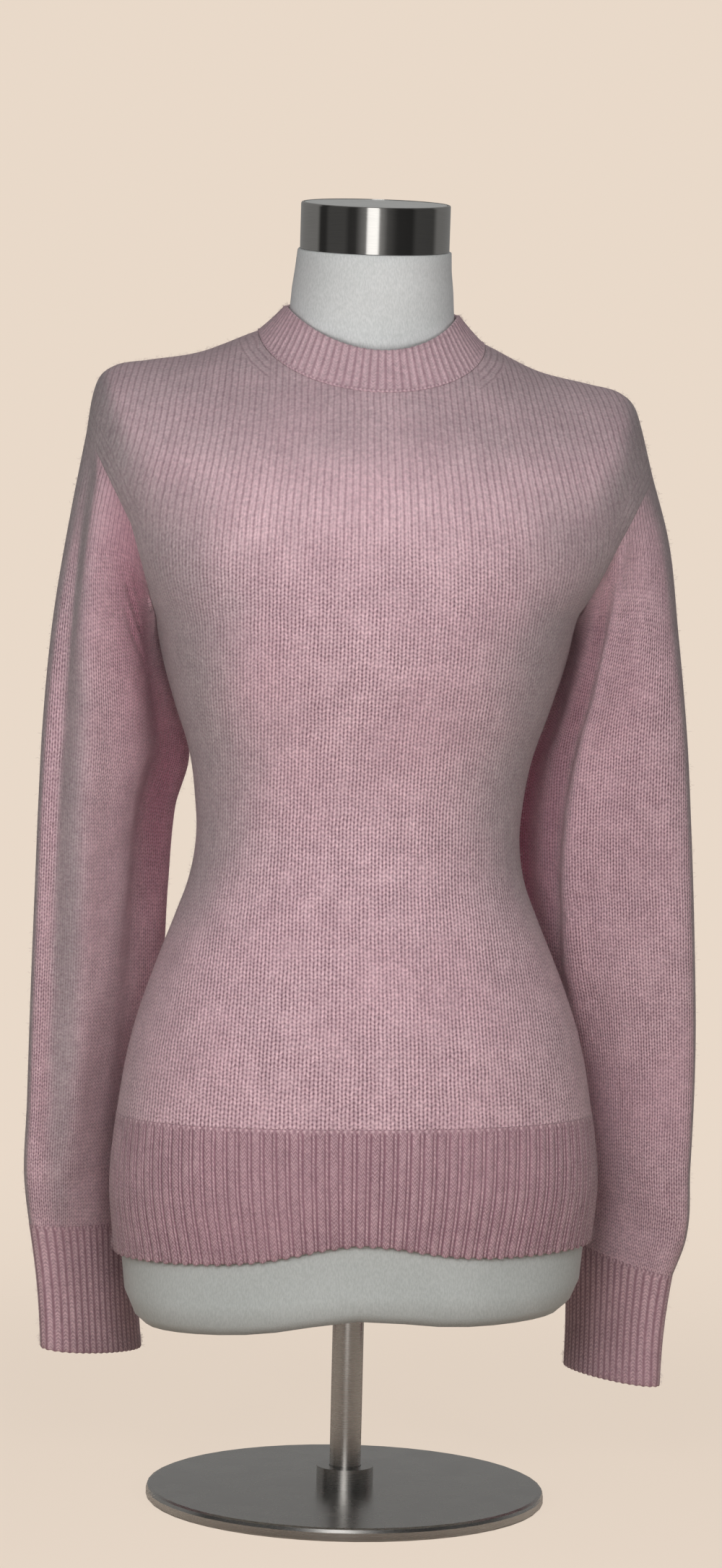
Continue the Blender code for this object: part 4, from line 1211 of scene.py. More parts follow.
@dataclass
class Body:
    """The front and back panels of the sweater, and the rows that its hem rib carries on from."""

    wall: float = 0.0028
    side_y: float = 0.002
    hem_bottom: float = 0.182
    hem_top: float = 0.2745
    underarm: float = 0.6225
    bust_line: float = 0.674
    hem_rise_spread: float = 0.055
    edge_round: float = 2.0  # power of the shoulder's arch at the armhole
    low_turn: float = 90.0  # columns lie at even steps of this turn, in degrees
    bust_turn: float = 62.0
    bust_flatness: float = 2.6
    bust_edge: float = 1.30
    opening_starts: float = 0.45  # the climb where the sides begin to open to the armholes
    edge_hug: int = 9  # the higher it is, the nearer the edge a row turns to meet it
    edge_hold: int = 8  # the higher it is, the nearer the side seams the creases reach
    ridge_backset: float = 0.010
    cut_slope: float = 0.55
    cut_least: float = 0.4
    cut_most: float = 3.0
    rows_body: int = 72
    rows_underarm: int = 30
    rows_shoulder: int = 36
    columns_neck: int = 36
    columns_shoulder: int = 42
    course: float = 0.0030
    middle_wale: float = 200.5
    upright_from: float = 0.600  # height from which wales begin to hang upright
    upright_reach: float = 0.130
    band_least: float = 0.045  # the neckline counts from this far out, and its band of wales
    band_from: float = 0.067  # shows from here
    band_fade: float = 0.010
    armhole_band_fade: float = 0.012
    ease_columns: float = 22.0
    ease_rows: float = 12.0
    ease_rounds: int = 160

    @property
    def neck_share(self) -> float:
        """The column where the neckline meets the shoulder seam."""
        return RIDGE[1].share

    def armhole_middle(self, hole: Armhole, face: Face) -> tuple[float, float, float]:
        """The loop's point halfway up its front or back, before the tilt."""
        out = (hole.top_out + hole.underarm_out) / 2 - hole.bow
        y = self.side_y + face * FACES[face].armhole_depth
        return out, y, (hole.top_height + hole.underarm_height) / 2

    def armhole_edge(self, hole: Armhole, face: Face, climb: Array) -> tuple[Array, Array, Array]:
        """Points of the loop: climb is 1 at the underarm, 2 halfway and 3 at its top.

        Two quarter turns: from the underarm to the middle, and from the middle to the top.
        """
        out, y, height = self.armhole_middle(hole, face)
        low = np.radians(90 * (np.clip(climb, 1, 2) - 1))
        high = np.radians(90 * (np.clip(climb, 2, 3) - 2))
        share_low, share_high = 1 - np.cos(low), np.sin(high)
        x = hole.underarm_out + (out - hole.underarm_out) * share_low + (hole.top_out - out) * share_high
        z = hole.underarm_height + (height - hole.underarm_height) * share_low
        z = z + (hole.top_height - height) * share_high
        return x, self.side_y + (y - self.side_y) * np.sin(low) * np.cos(high), z

    def edge(self, hole: Armhole, face: Face, climb: Array) -> tuple[Array, Array, Array]:
        """The panel's outer edge: the side seam up to the underarm, then the armhole."""
        x, y, z = self.armhole_edge(hole, face, climb)
        seam = self.hem_top + (hole.underarm_height - self.hem_top) * np.clip(climb, None, 1)
        width = column_of(BODY, "half_width", np.clip(seam, BODY[0].height, None))
        match = hole.underarm_out - column_of(BODY, "half_width", np.array(hole.underarm_height))
        low = climb <= 1
        x = np.where(low, width + match * np.clip(climb, 0, 1) ** 4, x)
        return x, np.where(low, self.side_y, y), np.where(low, seam, z)

    def ridge(self, hole: Armhole, share: Array) -> tuple[Array, Array, Array]:
        """A shoulder's ridge line from the middle of the neck to the armhole's top."""
        keys = [point.share for point in RIDGE] + [1.0]
        column = "left_out" if hole.side == LEFT else "right_out"
        outs = [getattr(point, column) for point in RIDGE] + [hole.top_out]
        heights = [point.height for point in RIDGE] + [hole.top_height]
        behind = self.side_y + self.ridge_backset * (1 - share**2)
        return through(keys, outs, share), behind, through(keys, heights, share)

    def half(self, hole: Armhole, face: Face, share: Array, climb: Array) -> Array:
        """The outer surface on one side of the middle, before the body's lean.

        share is 0 at the middle and 1 at the edge. climb is -1 at the hem's lower edge, 0 at the top
        of the rib, 1 at the underarm, 2 at the bust line and 3 at the shoulder seam. A row below the
        bust line bulges as (1 - xi^m)^(1/q), with xi from 0 to 1 across it. Above the bust line each
        column is a quarter of a superellipse from the bust line to the ridge.

        Args:
            hole: The armhole on that side.
            face: Front or back.
            share: Places across.
            climb: Places up, of the same shape.

        Returns:
            Points of the surface.
        """
        low = np.clip(climb, -1, 2)
        middle_z = self.hem_top + (self.underarm - self.hem_top) * np.clip(low, 0, 1)
        middle_z = middle_z + (self.bust_line - self.underarm) * np.clip(low - 1, 0, 1)
        edge_x, edge_y, edge_z = self.edge(hole, face, np.clip(low, 0, 2))
        blend = np.clip(low - 1, 0, 1)
        turn = np.radians(self.low_turn + (self.bust_turn - self.low_turn) * blend)
        across = np.sin(turn * share) / np.sin(turn)
        lift = FACES[face].hem_rise * bell(edge_x * across, self.hem_rise_spread)
        drop = np.clip(-low, 0, 1) * (self.hem_top - self.hem_bottom - lift)
        level = np.clip(middle_z - drop, BODY[0].height, None)
        edge_x = np.where(low < 0, column_of(BODY, "half_width", level), edge_x)
        fullness = column_of(BODY, "fullness", level)
        flat = fullness + (self.bust_flatness - fullness) * blend
        edge = fullness + (self.bust_edge - fullness) * blend
        bulge = (1 - np.clip(across, 0, 1) ** flat) ** (1 / edge)
        depth = face * column_of(BODY, "front" if face == FRONT else "back", level)
        opening = smooth_step((low - self.opening_starts) / (2 - self.opening_starts))
        early_y = self.side_y + (self.armhole_middle(hole, face)[1] - self.side_y) * opening
        hug = across**self.edge_hug
        x = edge_x * across
        y = depth * bulge + (edge_y * hug + early_y * (1 - hug)) * (1 - bulge)
        z = edge_z + (middle_z - edge_z) * (1 - across**2) - drop

        top_x, top_y, top_z = self.ridge(hole, share)
        middle_round = FACES[face].middle_round
        power = 2 / (middle_round + (self.edge_round - middle_round) * share**3)
        arch = np.radians(90 * np.clip(climb - 2, 0, 1))
        rise, reach = np.sin(arch) ** power, np.clip(np.cos(arch), 0, 1) ** power
        x = x + (top_x - x) * rise
        z = z + (top_z - z) * rise
        y = top_y + (y - top_y) * reach
        return np.stack([hole.side * x, y, z], axis=-1)

    def neckline_climb(self, hole: Armhole, face: Face, share: Array) -> Array:
        """Where each column ends: 3 at the shoulder seam, less where the neckline cuts across it.

        The neckline's height rises from its middle h to the ridge's H as h + (H - h)(1 - sqrt(1 - r^2)).
        """
        out, height = RIDGE[1].left_out, RIDGE[1].height
        middle_height = FACES[face].neckline_height
        low, high = np.full(share.shape, 2.0), np.full(share.shape, 3.0)
        for _ in range(30):
            middle = (low + high) / 2
            point = self.half(hole, face, share, middle)
            reach = np.clip(np.abs(point[..., 0]) / out, 0, 1)
            line = middle_height + (height - middle_height) * (1 - np.sqrt(1 - reach**2))
            over = point[..., 2] > line
            low, high = np.where(over, low, middle), np.where(over, middle, high)
        return np.where(share >= self.neck_share, 3.0, high)

    def shares(self) -> Array:
        """Columns from the middle to the edge: bunched towards the neckline's end, then even."""
        turn = np.radians(90 * np.arange(self.columns_neck) / self.columns_neck)
        rest = np.linspace(self.neck_share, 1, self.columns_shoulder + 1)
        return np.concatenate([self.neck_share * np.sin(turn), rest])

    def cut_short(self, rise: Array, top: Array) -> Array:
        """Ends a column's rise, 0 to 1, at top: the rows near the neckline bend most."""
        bend = np.clip(self.cut_slope * top / (1 - top + 1e-9), self.cut_least, self.cut_most)
        return rise * (1 - (1 - top) * np.clip(rise, 0, 1) ** bend)

    def rows(self, face: Face, shares: Array, climbs: Array, to_neckline: bool) -> Array:
        """A grid of rows from the left edge to the right one.

        Args:
            face: Front or back.
            shares: Columns of one half.
            climbs: Rows.
            to_neckline: Whether each column ends at the neckline.

        Returns:
            Points, rows by columns by 3.
        """
        halves = []
        for hole in ARMHOLES.values():
            tops = self.neckline_climb(hole, face, shares) if to_neckline else np.full(shares.shape, 3.0)
            rise = self.cut_short(climbs[:, None] - 2, tops - 2)
            climb = np.where(climbs[:, None] > 2, 2 + rise, climbs[:, None])
            halves.append(leaned(self.half(hole, face, np.broadcast_to(shares, climb.shape), climb)))
        left, right = halves
        return np.concatenate([left[:, ::-1], right[:, 1:]], axis=1)

    def climbs(self) -> Array:
        """The climb of each row of a panel, from the hem rib to the shoulder seam."""
        low = np.linspace(0, 1, self.rows_body + 1)
        middle = np.linspace(1, 2, self.rows_underarm + 1)[1:]
        return np.concatenate([low, middle, np.linspace(2, 3, self.rows_shoulder + 1)[1:]])

    def creased(self, face: Face, grid: Array) -> Array:
        """The panel with its soft creases.

        Each crease lifts the cloth by rise exp(-(a/length)^2 - (b/width)^2), with a along it and b
        across it as seen from its own side.
        """
        lift = np.zeros(grid.shape[:2])
        for crease in CREASES:
            if crease.face == face:
                x, z = grid[..., 0] - crease.out, grid[..., 2] - crease.height
                lift += crease.rise * crossed_bells(crease, x, z)
        lift = lift * (1 - np.linspace(-1, 1, grid.shape[1]) ** self.edge_hold)
        return self.eased(lifted(grid, lift, normals(grid, False, -face)))

    def eased(self, grid: Array) -> Array:
        """The panel with the bend beside its underarm corners evened out; its edges stay."""
        columns = np.arange(grid.shape[1])
        inward = np.minimum(columns, columns[::-1])[None, :] / self.ease_columns
        rows = (np.arange(grid.shape[0])[:, None] - self.rows_body) / self.ease_rows
        weight = (bell(rows, 1) * bell(inward, 1))[1:-1, 1:-1, None] * 0.5
        grid = grid.copy()
        for _ in range(self.ease_rounds):
            around = grid[:-2, 1:-1] + grid[2:, 1:-1] + grid[1:-1, :-2] + grid[1:-1, 2:]
            grid[1:-1, 1:-1] += weight * (around / 4 - grid[1:-1, 1:-1])
        return grid

    def stitches(self, face: Face, grid: Array) -> Array:
        """Wale and course of each point.

        Wales hang straight down: they count level distance from the middle column over the width of a
        wale at that height. Above the bust line depth counts less and less, so that they stay upright.
        Courses count distance from the first row.
        """
        row_height = grid[..., 2:].mean(axis=1, keepdims=True)
        climb = rising(row_height, self.upright_from, self.upright_reach)
        depth = 1 - climb * (1 - FACES[face].upright_depth)
        level = lengths_along(grid * np.concatenate([depth * 0 + 1, depth, depth * 0], axis=-1), 1)
        level = level - level[:, grid.shape[1] // 2, None]
        wale = column_of(WALES, "width", np.clip(grid[..., 2], WALES[0].height, WALES[-1].height))
        wale = level / wale + self.middle_wale
        return np.stack([wale, lengths_along(grid, 0) / self.course], axis=-1)

    def edge_band(self, grid: Array) -> Array:
        """Distance to the neckline or armhole, and how far the wales beside it run along it."""
        middle = grid.shape[1] // 2
        neck = grid[-1, middle - self.columns_neck : middle + self.columns_neck + 1]
        neck_sides = neck[np.abs(neck[:, 0]) > self.band_least]
        start = self.rows_body + self.rows_underarm // 2
        sideways = rising(np.abs(grid[..., 0]), self.band_from, self.band_fade)
        lines = [(neck_sides, sideways)]
        for column in (0, -1):
            above = rising(grid[..., 2], grid[start, column, 2], self.armhole_band_fade)
            lines.append((grid[start:, column], above))
        away, reach = np.full(grid.shape[:2], 1.0), np.zeros(grid.shape[:2])
        for line, share in lines:
            near = nearest(grid.reshape(-1, 3), line).reshape(grid.shape[:2])
            reach = np.where(near < away, share, reach)
            away = np.minimum(away, near)
        return np.stack([away, reach], axis=-1)


def nearest(points: Array, line: Array) -> Array:
    """Distance from each point to the nearest point of a line, in blocks to keep the memory small."""
    found = np.full(len(points), 1.0)
    for start in range(0, len(line), 16):
        away = np.linalg.norm(points[:, None] - line[None, start : start + 16], axis=-1)
        found = np.minimum(found, away.min(axis=1))
    return found


def meet(first: Array, second: Array, where: tuple) -> None:
    """Gives two grids the mean of their points there."""
    mean = (first[where] + second[where]) / 2
    first[where] = mean
    second[where] = mean


def refined_loop(loop: Array, count: int) -> Array:
    """A closed loop of points read at more even places, as a smooth closed curve."""
    keys = np.arange(-3, len(loop) + 4)
    return through(keys, loop[keys % len(loop)], np.arange(count) * len(loop) / count)


def ring_stitches(grid: Array, wales: int, course: float) -> Array:
    """Wale and course round a closed piece: a fixed number of wales, and distances down it."""
    round_it = lengths_along(grid, 1, closed=True)
    down = closed_up(lengths_along(grid, 0)).mean(axis=1, keepdims=True)
    down = np.broadcast_to(down, round_it.shape)
    return np.stack([round_it / round_it[:, -1:] * wales, down / course], axis=-1)


@dataclass(frozen=True)
class PaintedSheenShade:
    """Where painted sheen and shade grey the knit: on what turns to the side, less where it faces the
    back.

    A panel's painted sheen and shade count from a sideways turn of panel_turn, which is
    panel_turn_less smaller above the waist. The shoulders get shoulder of it at least, and the body's
    low part low_less less.
    """

    panel_turn: float = 0.36
    panel_turn_less: float = 0.16
    panel_turn_reach: float = 0.64
    waist: Pair = (0.420, 0.120)  # height where it starts, and its reach
    low: Pair = (0.450, 0.090)
    low_less: float = 0.6
    back_less: float = 0.7
    back_reach: float = 0.5
    shoulder: float = 0.42
    shoulder_rise: Pair = (0.690, 0.060)
    sleeve_turn: float = 0.64
    sleeve_turn_reach: float = 0.32

    def behind(self, out: Array) -> Array:
        """What is left of it where a normal points to the back."""
        return 1 - self.back_less * smooth_step(out[..., 1] / self.back_reach)

    def panel(self, grid: Array, sign: float) -> Array:
        """The map of painted sheen and shade of a panel or a hem.

        Args:
            grid: Outer points of the piece.
            sign: Sign that turns its normals outwards.

        Returns:
            How much painted sheen and shade grey each point, and 0.
        """
        out, height = normals(grid, False, sign), grid[..., 2]
        least = self.panel_turn - self.panel_turn_less * rising(height, *self.waist)
        sheen_shade_amount = np.clip((np.abs(out[..., 0]) - least) / self.panel_turn_reach, 0, 1)
        sheen_shade_amount = sheen_shade_amount * (1 - self.low_less * smooth_step((self.low[0] - height) / self.low[1]))
        shoulder = self.shoulder * rising(height, *self.shoulder_rise)
        sheen_shade_amount = np.maximum(sheen_shade_amount * self.behind(out), shoulder)
        return np.stack([sheen_shade_amount, np.zeros_like(sheen_shade_amount)], axis=-1)

    def sleeve(self, grid: Array, side: Side) -> Array:
        """The map of a sleeve's painted sheen and shade, and of the painted shade in its valley next to
        the body.

        Each patch is a bell across about a middle line that turns as it goes down.

        Args:
            grid: Outer points of the sleeve.
            side: Which sleeve it is.

        Returns:
            How much painted sheen and shade grey each point and how much painted valley shade darkens
            it, with one more column than the grid.
        """
        out = normals(grid, True, side)
        turned = rising(side * out[..., 0], self.sleeve_turn, self.sleeve_turn_reach)
        amounts = {False: turned * self.behind(out), True: np.zeros_like(turned)}
        degrees = np.degrees(loop_angles(grid.shape[1]))[None, :]
        along = np.linspace(0, 1, len(grid))[:, None]
        for patch in PATCHES:
            if patch.side == side:
                near = bell(turned_from(patch, degrees, along), patch.spread)
                amount = patch.amount * near * strip_fade(patch, along)
                amounts[patch.valley_shade] = np.maximum(amounts[patch.valley_shade], amount)
        return closed_up(np.stack([amounts[False], amounts[True]], axis=-1))


PAINTED_SHEEN_SHADE = PaintedSheenShade()


def stand_in(piece: Piece, node: str, slot: str) -> None:
    """Rides a piece on the object in place of its solid."""
    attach(piece, "root")
    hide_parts(node)
    LOG.info("%s: %d faces", piece.name, len(piece.data.polygons))


@dataclass(frozen=True)
class Cloth:
    """Flat facts of one knitted piece: its width, length, area, how it is held and what it rests on."""

    width: float
    length: float
    area: float
    held: str
    rests_on: str

    def declare(self, piece: Piece, node: str, slot: str) -> None:
        """Puts the piece in its solid's place."""
        stand_in(piece, node, slot)


@dataclass
class Panels:
    """The two panels of the body, made from the body's surface."""

    body: Body
    cut: Cloth = Cloth(0.50, 0.60, 0.225, "draped", "form_torso")
    outer: dict[Face, Array] = field(default_factory=dict)
    inner: dict[Face, Array] = field(default_factory=dict)

    def shape(self) -> None:
        """Works out the outer and inner grids of both panels."""
        body = self.body
        for face in Face:
            grid = body.rows(face, body.shares(), body.climbs(), True)
            grid = body.creased(face, grid)
            self.outer[face] = grid
            self.inner[face] = grid - body.wall * normals(grid, False, -face)
        low, shoulder = body.rows_body + 1, body.columns_shoulder + 1
        for where in (np.s_[:low, 0], np.s_[:low, -1], np.s_[-1, :shoulder], np.s_[-1, -shoulder:]):
            meet(self.outer[FRONT], self.outer[BACK], where)
            meet(self.inner[FRONT], self.inner[BACK], where)

    def armhole_loop(self, grids: dict[Face, Array], side: Side) -> Array:
        """A grid value round one armhole: top, front, underarm, back."""
        column, low = (0 if side == LEFT else -1), self.body.rows_body
        front = grids[FRONT][low:, column][::-1]
        return np.concatenate([front, grids[BACK][low:, column][1:-1]])

    def set_armhole(self, side: Side, loop: Array) -> None:
        """Writes the inner edge round one armhole, in the same order."""
        column, low = (0 if side == LEFT else -1), self.body.rows_body
        climb = self.body.rows_underarm + self.body.rows_shoulder
        self.inner[FRONT][low:, column] = loop[: climb + 1][::-1]
        self.inner[BACK][low:, column] = np.concatenate([loop[climb:], loop[:1]])

    def neckline_loop(self, grids: dict[Face, Array]) -> Array:
        """The neckline's edge: from the front's middle over the right side and round the back."""
        middle, reach = grids[FRONT].shape[1] // 2, self.body.columns_neck
        front = grids[FRONT][-1, middle : middle + reach + 1]
        back = grids[BACK][-1, middle - reach : middle + reach + 1][::-1]
        return np.concatenate([front, back[1:-1], grids[FRONT][-1, middle - reach : middle]])

    def build(self, knit: Material) -> list[Array]:
        """Makes both panels.

        Args:
            knit: The material.

        Returns:
            The outer grids, for the loose fibres.
        """
        for face, outer in self.outer.items():
            name = f"{face.name.lower()}_panel"
            # The last map is the painted sheen and shade of the sides.
            maps = self.body.stitches(face, outer), self.body.edge_band(outer), PAINTED_SHEEN_SHADE.panel(outer, -face)
            edges = (FIRST_ROW, LAST_ROW, FIRST_COLUMN, LAST_COLUMN)
            wall = Wall(name, outer, self.inner[face], False, *maps, edges=edges)
            self.cut.declare(wall.build(knit), name, "pink_knit")
        return list(self.outer.values())


@dataclass
class HemRib:
    """The ribbed hem: broad ribs with a thin cord beside each."""

    body: Body
    columns: int = 300
    rows: int = 34
    middle_rib: float = 0.0096
    side_rib: float = 0.0074
    depth: float = 0.0009
    gather: float = 0.07  # how far the ribs draw in towards the middle at the lower edge
    scallop: float = 0.0009
    course: float = 0.0028
    loop_height: float = 0.0007
    middle_number: float = 100.0
    offset: float = 0.35  # the part of a rib that lies on the middle line
    band_flanks: tuple[float, ...] = (0.03, 0.11, 0.56, 0.11)
    cord_flanks: tuple[float, ...] = (0.72, 0.07, 0.86, 0.08)
    band_middle: float = 0.345
    band_width: float = 0.62
    crown: float = 0.24  # how much lower a band's sides are than its middle
    cord_height: float = 0.8
    fade: float = 0.0022  # the ribs rise within this of the linked seam
    loop_down: float = 0.0016
    loop_spread: float = 0.0011
    edge_spread: float = 0.004
    edge_hold: int = 40  # the higher it is, the nearer the side seams the ribs reach
    cut: Cloth = Cloth(0.44, 0.092, 0.040, "stretched", "form_torso")

    def phase(self, grid: Array) -> Array:
        """Rib number of each point: a s + b s^2 on both sides, so that ribs narrow towards the sides."""
        across = lengths_along(grid, 1)
        middle = grid.shape[1] // 2
        across = across - across[:, middle, None]
        half = np.abs(across[:, -1:])
        share = across / half
        down = np.linspace(1, 0, grid.shape[0])[:, None]
        share = share * (1 + self.gather * down * (1 - share**2))
        first = half.mean() / self.middle_rib
        more = (half.mean() / self.side_rib - first) / 2
        return first * share + more * share * np.abs(share) + self.offset

    def relief(self, phase: Array) -> Array:
        """Height of the rib, 0 to 1: a broad band, and a thin cord in the groove beside it."""
        part = phase % 1.0
        crown = 1 - self.crown * (1 - raised_cosine((part - self.band_middle) / self.band_width))
        cord = self.cord_height * flanked(part, self.cord_flanks)
        return flanked(part, self.band_flanks) * crown + cord

    def build(self, rib: Material) -> list[Array]:
        """Makes the front and back of the hem.

        Args:
            rib: The material.

        Returns:
            The outer grids, for the loose fibres.
        """
        outers, inners, stitches, sheen_shades = {}, {}, {}, {}
        climbs = np.linspace(-1, 0, self.rows + 1)
        shares = np.linspace(0, 1, self.columns + 1)
        for face in Face:
            grid = self.body.rows(face, shares, climbs, False)
            out = normals(grid, False, -face)
            phase, up = self.phase(grid), lengths_along(grid, 0)
            down = up[-1:] - up
            relief = self.depth * (self.relief(phase) - 0.5)
            relief = relief * smooth_step(down / self.fade + 0.15)
            links = bell(down - self.loop_down, self.loop_spread) * raised_cosine(2 * phase)
            lift = relief + self.loop_height * links
            lift = lift * (1 - np.linspace(-1, 1, grid.shape[1]) ** self.edge_hold)
            outers[face], inners[face] = lifted(grid, lift, out), grid - self.body.wall * out
            scallop = self.scallop * np.cos(2 * np.pi * (phase - 0.33))
            outers[face][..., 2] -= bell(up, self.edge_spread) * scallop
            stitches[face] = np.stack([phase + self.middle_number, down / self.course], axis=-1)
            # Painted sheen and shade of the hem's sides.
            sheen_shades[face] = PAINTED_SHEEN_SHADE.panel(grid, -face)
        for grids in (outers, inners):
            for column in (0, -1):
                meet(grids[FRONT], grids[BACK], np.s_[:, column])
        for face in Face:
            name, edges = f"hem_rib_{face.name.lower()}", (LAST_ROW, FIRST_COLUMN, LAST_COLUMN)
            maps = {"stitches": stitches[face], "nap": sheen_shades[face]}
            wall = Wall(name, outers[face], inners[face], False, **maps, round_rows=(0,), edges=edges)
            self.cut.declare(wall.build(rib), name, "pink_rib")
        return list(outers.values())


@dataclass
class Sleeve:
    """One sleeve and its ribbed cuff."""

    side: Side
    panels: Panels
    rows: int = 190
    wales: int = 84
    course: float = 0.0028
    seam_share: float = 0.02  # the folds begin within this share of the sleeve from its seam
    cuff_ribs: int = 40
    cuff_columns: int = 360
    cuff_rows: int = 34
    cuff_depth: float = 0.0004
    cuff_nip: float = 0.0015
    cuff_course: float = 0.0026
    cuff_round: float = 0.7
    cuff_edge: float = 0.0008
    edge_spread: float = 0.003
    link_bumps: float = 0.0006
    link_down: float = 0.0012
    link_spread: float = 0.0010

    def folds(self, angles: Array, along: Array) -> Array:
        """How far the folds move each point out: bells or steps across, fading at both ends."""
        total = np.zeros((len(along), len(angles)))
        for fold in FOLDS:
            if fold.side == self.side:
                near = turned_from(fold, np.degrees(angles)[None, :], along) / fold.spread
                shape = bell(near, 1) * (STEP_PEAK * near if fold.step else 1.0)
                total += fold.height * shape * strip_fade(fold, along)
        return total

    def dents(self, grid: Array) -> Array:
        """Short soft creases, each a pair of crossed bells about its middle."""
        total = np.zeros(grid.shape[:2])
        round_it = lengths_along(grid, 1, closed=True)
        down = lengths_along(grid, 0).mean(axis=1)[:, None]
        for dent in DENTS:
            if dent.side == self.side:
                across = round_it[:, :-1] - dent.degrees / 360 * round_it[:, -1:]
                total += dent.height * crossed_bells(dent, across, down - dent.share * down[-1])
        return total

    def grid(self, loop: Array) -> Array:
        """A smooth skin from the armhole's loop through the table's ovals to the cuff."""
        angles = loop_angles(len(loop))
        stack = np.array([loop] + [oval_ring(self.side, oval, angles) for oval in SLEEVES[self.side]])
        middles = stack.mean(axis=1)
        lengths = np.concatenate([[0], np.cumsum(np.linalg.norm(np.diff(middles, axis=0), axis=1))])
        lengths = lengths / lengths[-1]
        along = np.linspace(0, 1, self.rows + 1)
        grid, along = through(lengths, stack, along), along[:, None]
        lift = (self.folds(angles, along) + self.dents(grid)) * smooth_step(along / self.seam_share)
        return lifted(grid, lift, normals(grid, True, self.side))

    def cuff(self, ring: Array) -> tuple[Array, Array]:
        """The cuff's outer and inner grids, carried on from the sleeve's last ring."""
        ring = refined_loop(ring, self.cuff_columns)
        angles = loop_angles(self.cuff_columns)
        end = oval_ring(self.side, CUFF_ENDS[self.side], angles)
        along = np.linspace(0, 1, self.cuff_rows + 1)[:, None]
        grid = ring + (end - ring) * along[..., None]
        out = normals(grid, True, self.side)
        grid = lifted(grid, -self.cuff_nip * np.sin(np.pi * along), out)
        round_it = lengths_along(grid, 1, closed=True)
        phase = round_it[:, :-1] / round_it[:, -1:] * self.cuff_ribs
        down = lengths_along(grid, 0)
        wave, under = raised_cosine(phase), down - self.link_down
        relief = self.cuff_depth * (wave**self.cuff_round - 0.6) * smooth_step(under / 0.002)
        links = bell(under, self.link_spread) * (0.4 + 0.6 * raised_cosine(2 * phase))
        outer = lifted(grid, relief + self.link_bumps * links, out)
        edge = bell(down[-1:] - down, self.edge_spread)
        outer[..., 2] -= edge * self.cuff_edge * (wave - 0.5)
        return outer, grid - self.panels.body.wall * out

    def build(self, knit: Material, rib: Material) -> list[Array]:
        """Makes the sleeve and its cuff.

        Where sleeve and body run on into each other the wall turns with both; where they fold back
        on each other, each keeps its own thickness.

        Args:
            knit: The sleeve's material.
            rib: The cuff's material.

        Returns:
            The outer grids, for the loose fibres.
        """
        panels, side = self.panels, self.side
        wall = panels.body.wall
        loop = panels.armhole_loop(panels.outer, side)
        outer = self.grid(loop)
        outer[0] = loop
        body_out = {face: normals(panels.outer[face], False, -face) for face in Face}
        body_out = panels.armhole_loop(body_out, side)
        own_out = normals(outer, True, side)
        agree = np.clip((body_out * own_out[0]).sum(axis=-1, keepdims=True), 0, 1)
        panels.set_armhole(side, loop - wall * unit(body_out + agree * own_out[0]))
        inner = outer - wall * own_out
        inner[0] = loop - wall * unit(own_out[0] + agree * body_out)
        cuff, cuff_in = self.cuff(outer[-1])
        inner[-1] = refined_loop(cuff_in[0], len(loop))

        sleeve_name, cuff_name = f"sleeve_{side.name.lower()}", f"cuff_{side.name.lower()}"
        # The sleeve's map of painted sheen and shade and of painted valley shade.
        stitches, nap = ring_stitches(outer, self.wales, self.course), PAINTED_SHEEN_SHADE.sleeve(outer, side)
        edges = (FIRST_ROW, LAST_ROW)
        sleeve = Wall(sleeve_name, outer, inner, True, stitches, nap=nap, edges=edges)
        sleeve_cut = Cloth(0.36, 0.56, 0.17, "hung", "front_panel")
        sleeve_cut.declare(sleeve.build(knit), sleeve_name, "pink_knit")
        stitches = ring_stitches(cuff, self.cuff_ribs, self.cuff_course)
        end = Wall(cuff_name, cuff, cuff_in, True, stitches, round_rows=(-1,), edges=(FIRST_ROW,))
        cuff_cut = Cloth(0.20, 0.09, 0.018, "hung", sleeve_name)
        cuff_cut.declare(end.build(rib), cuff_name, "pink_rib")
        return [outer, cuff]


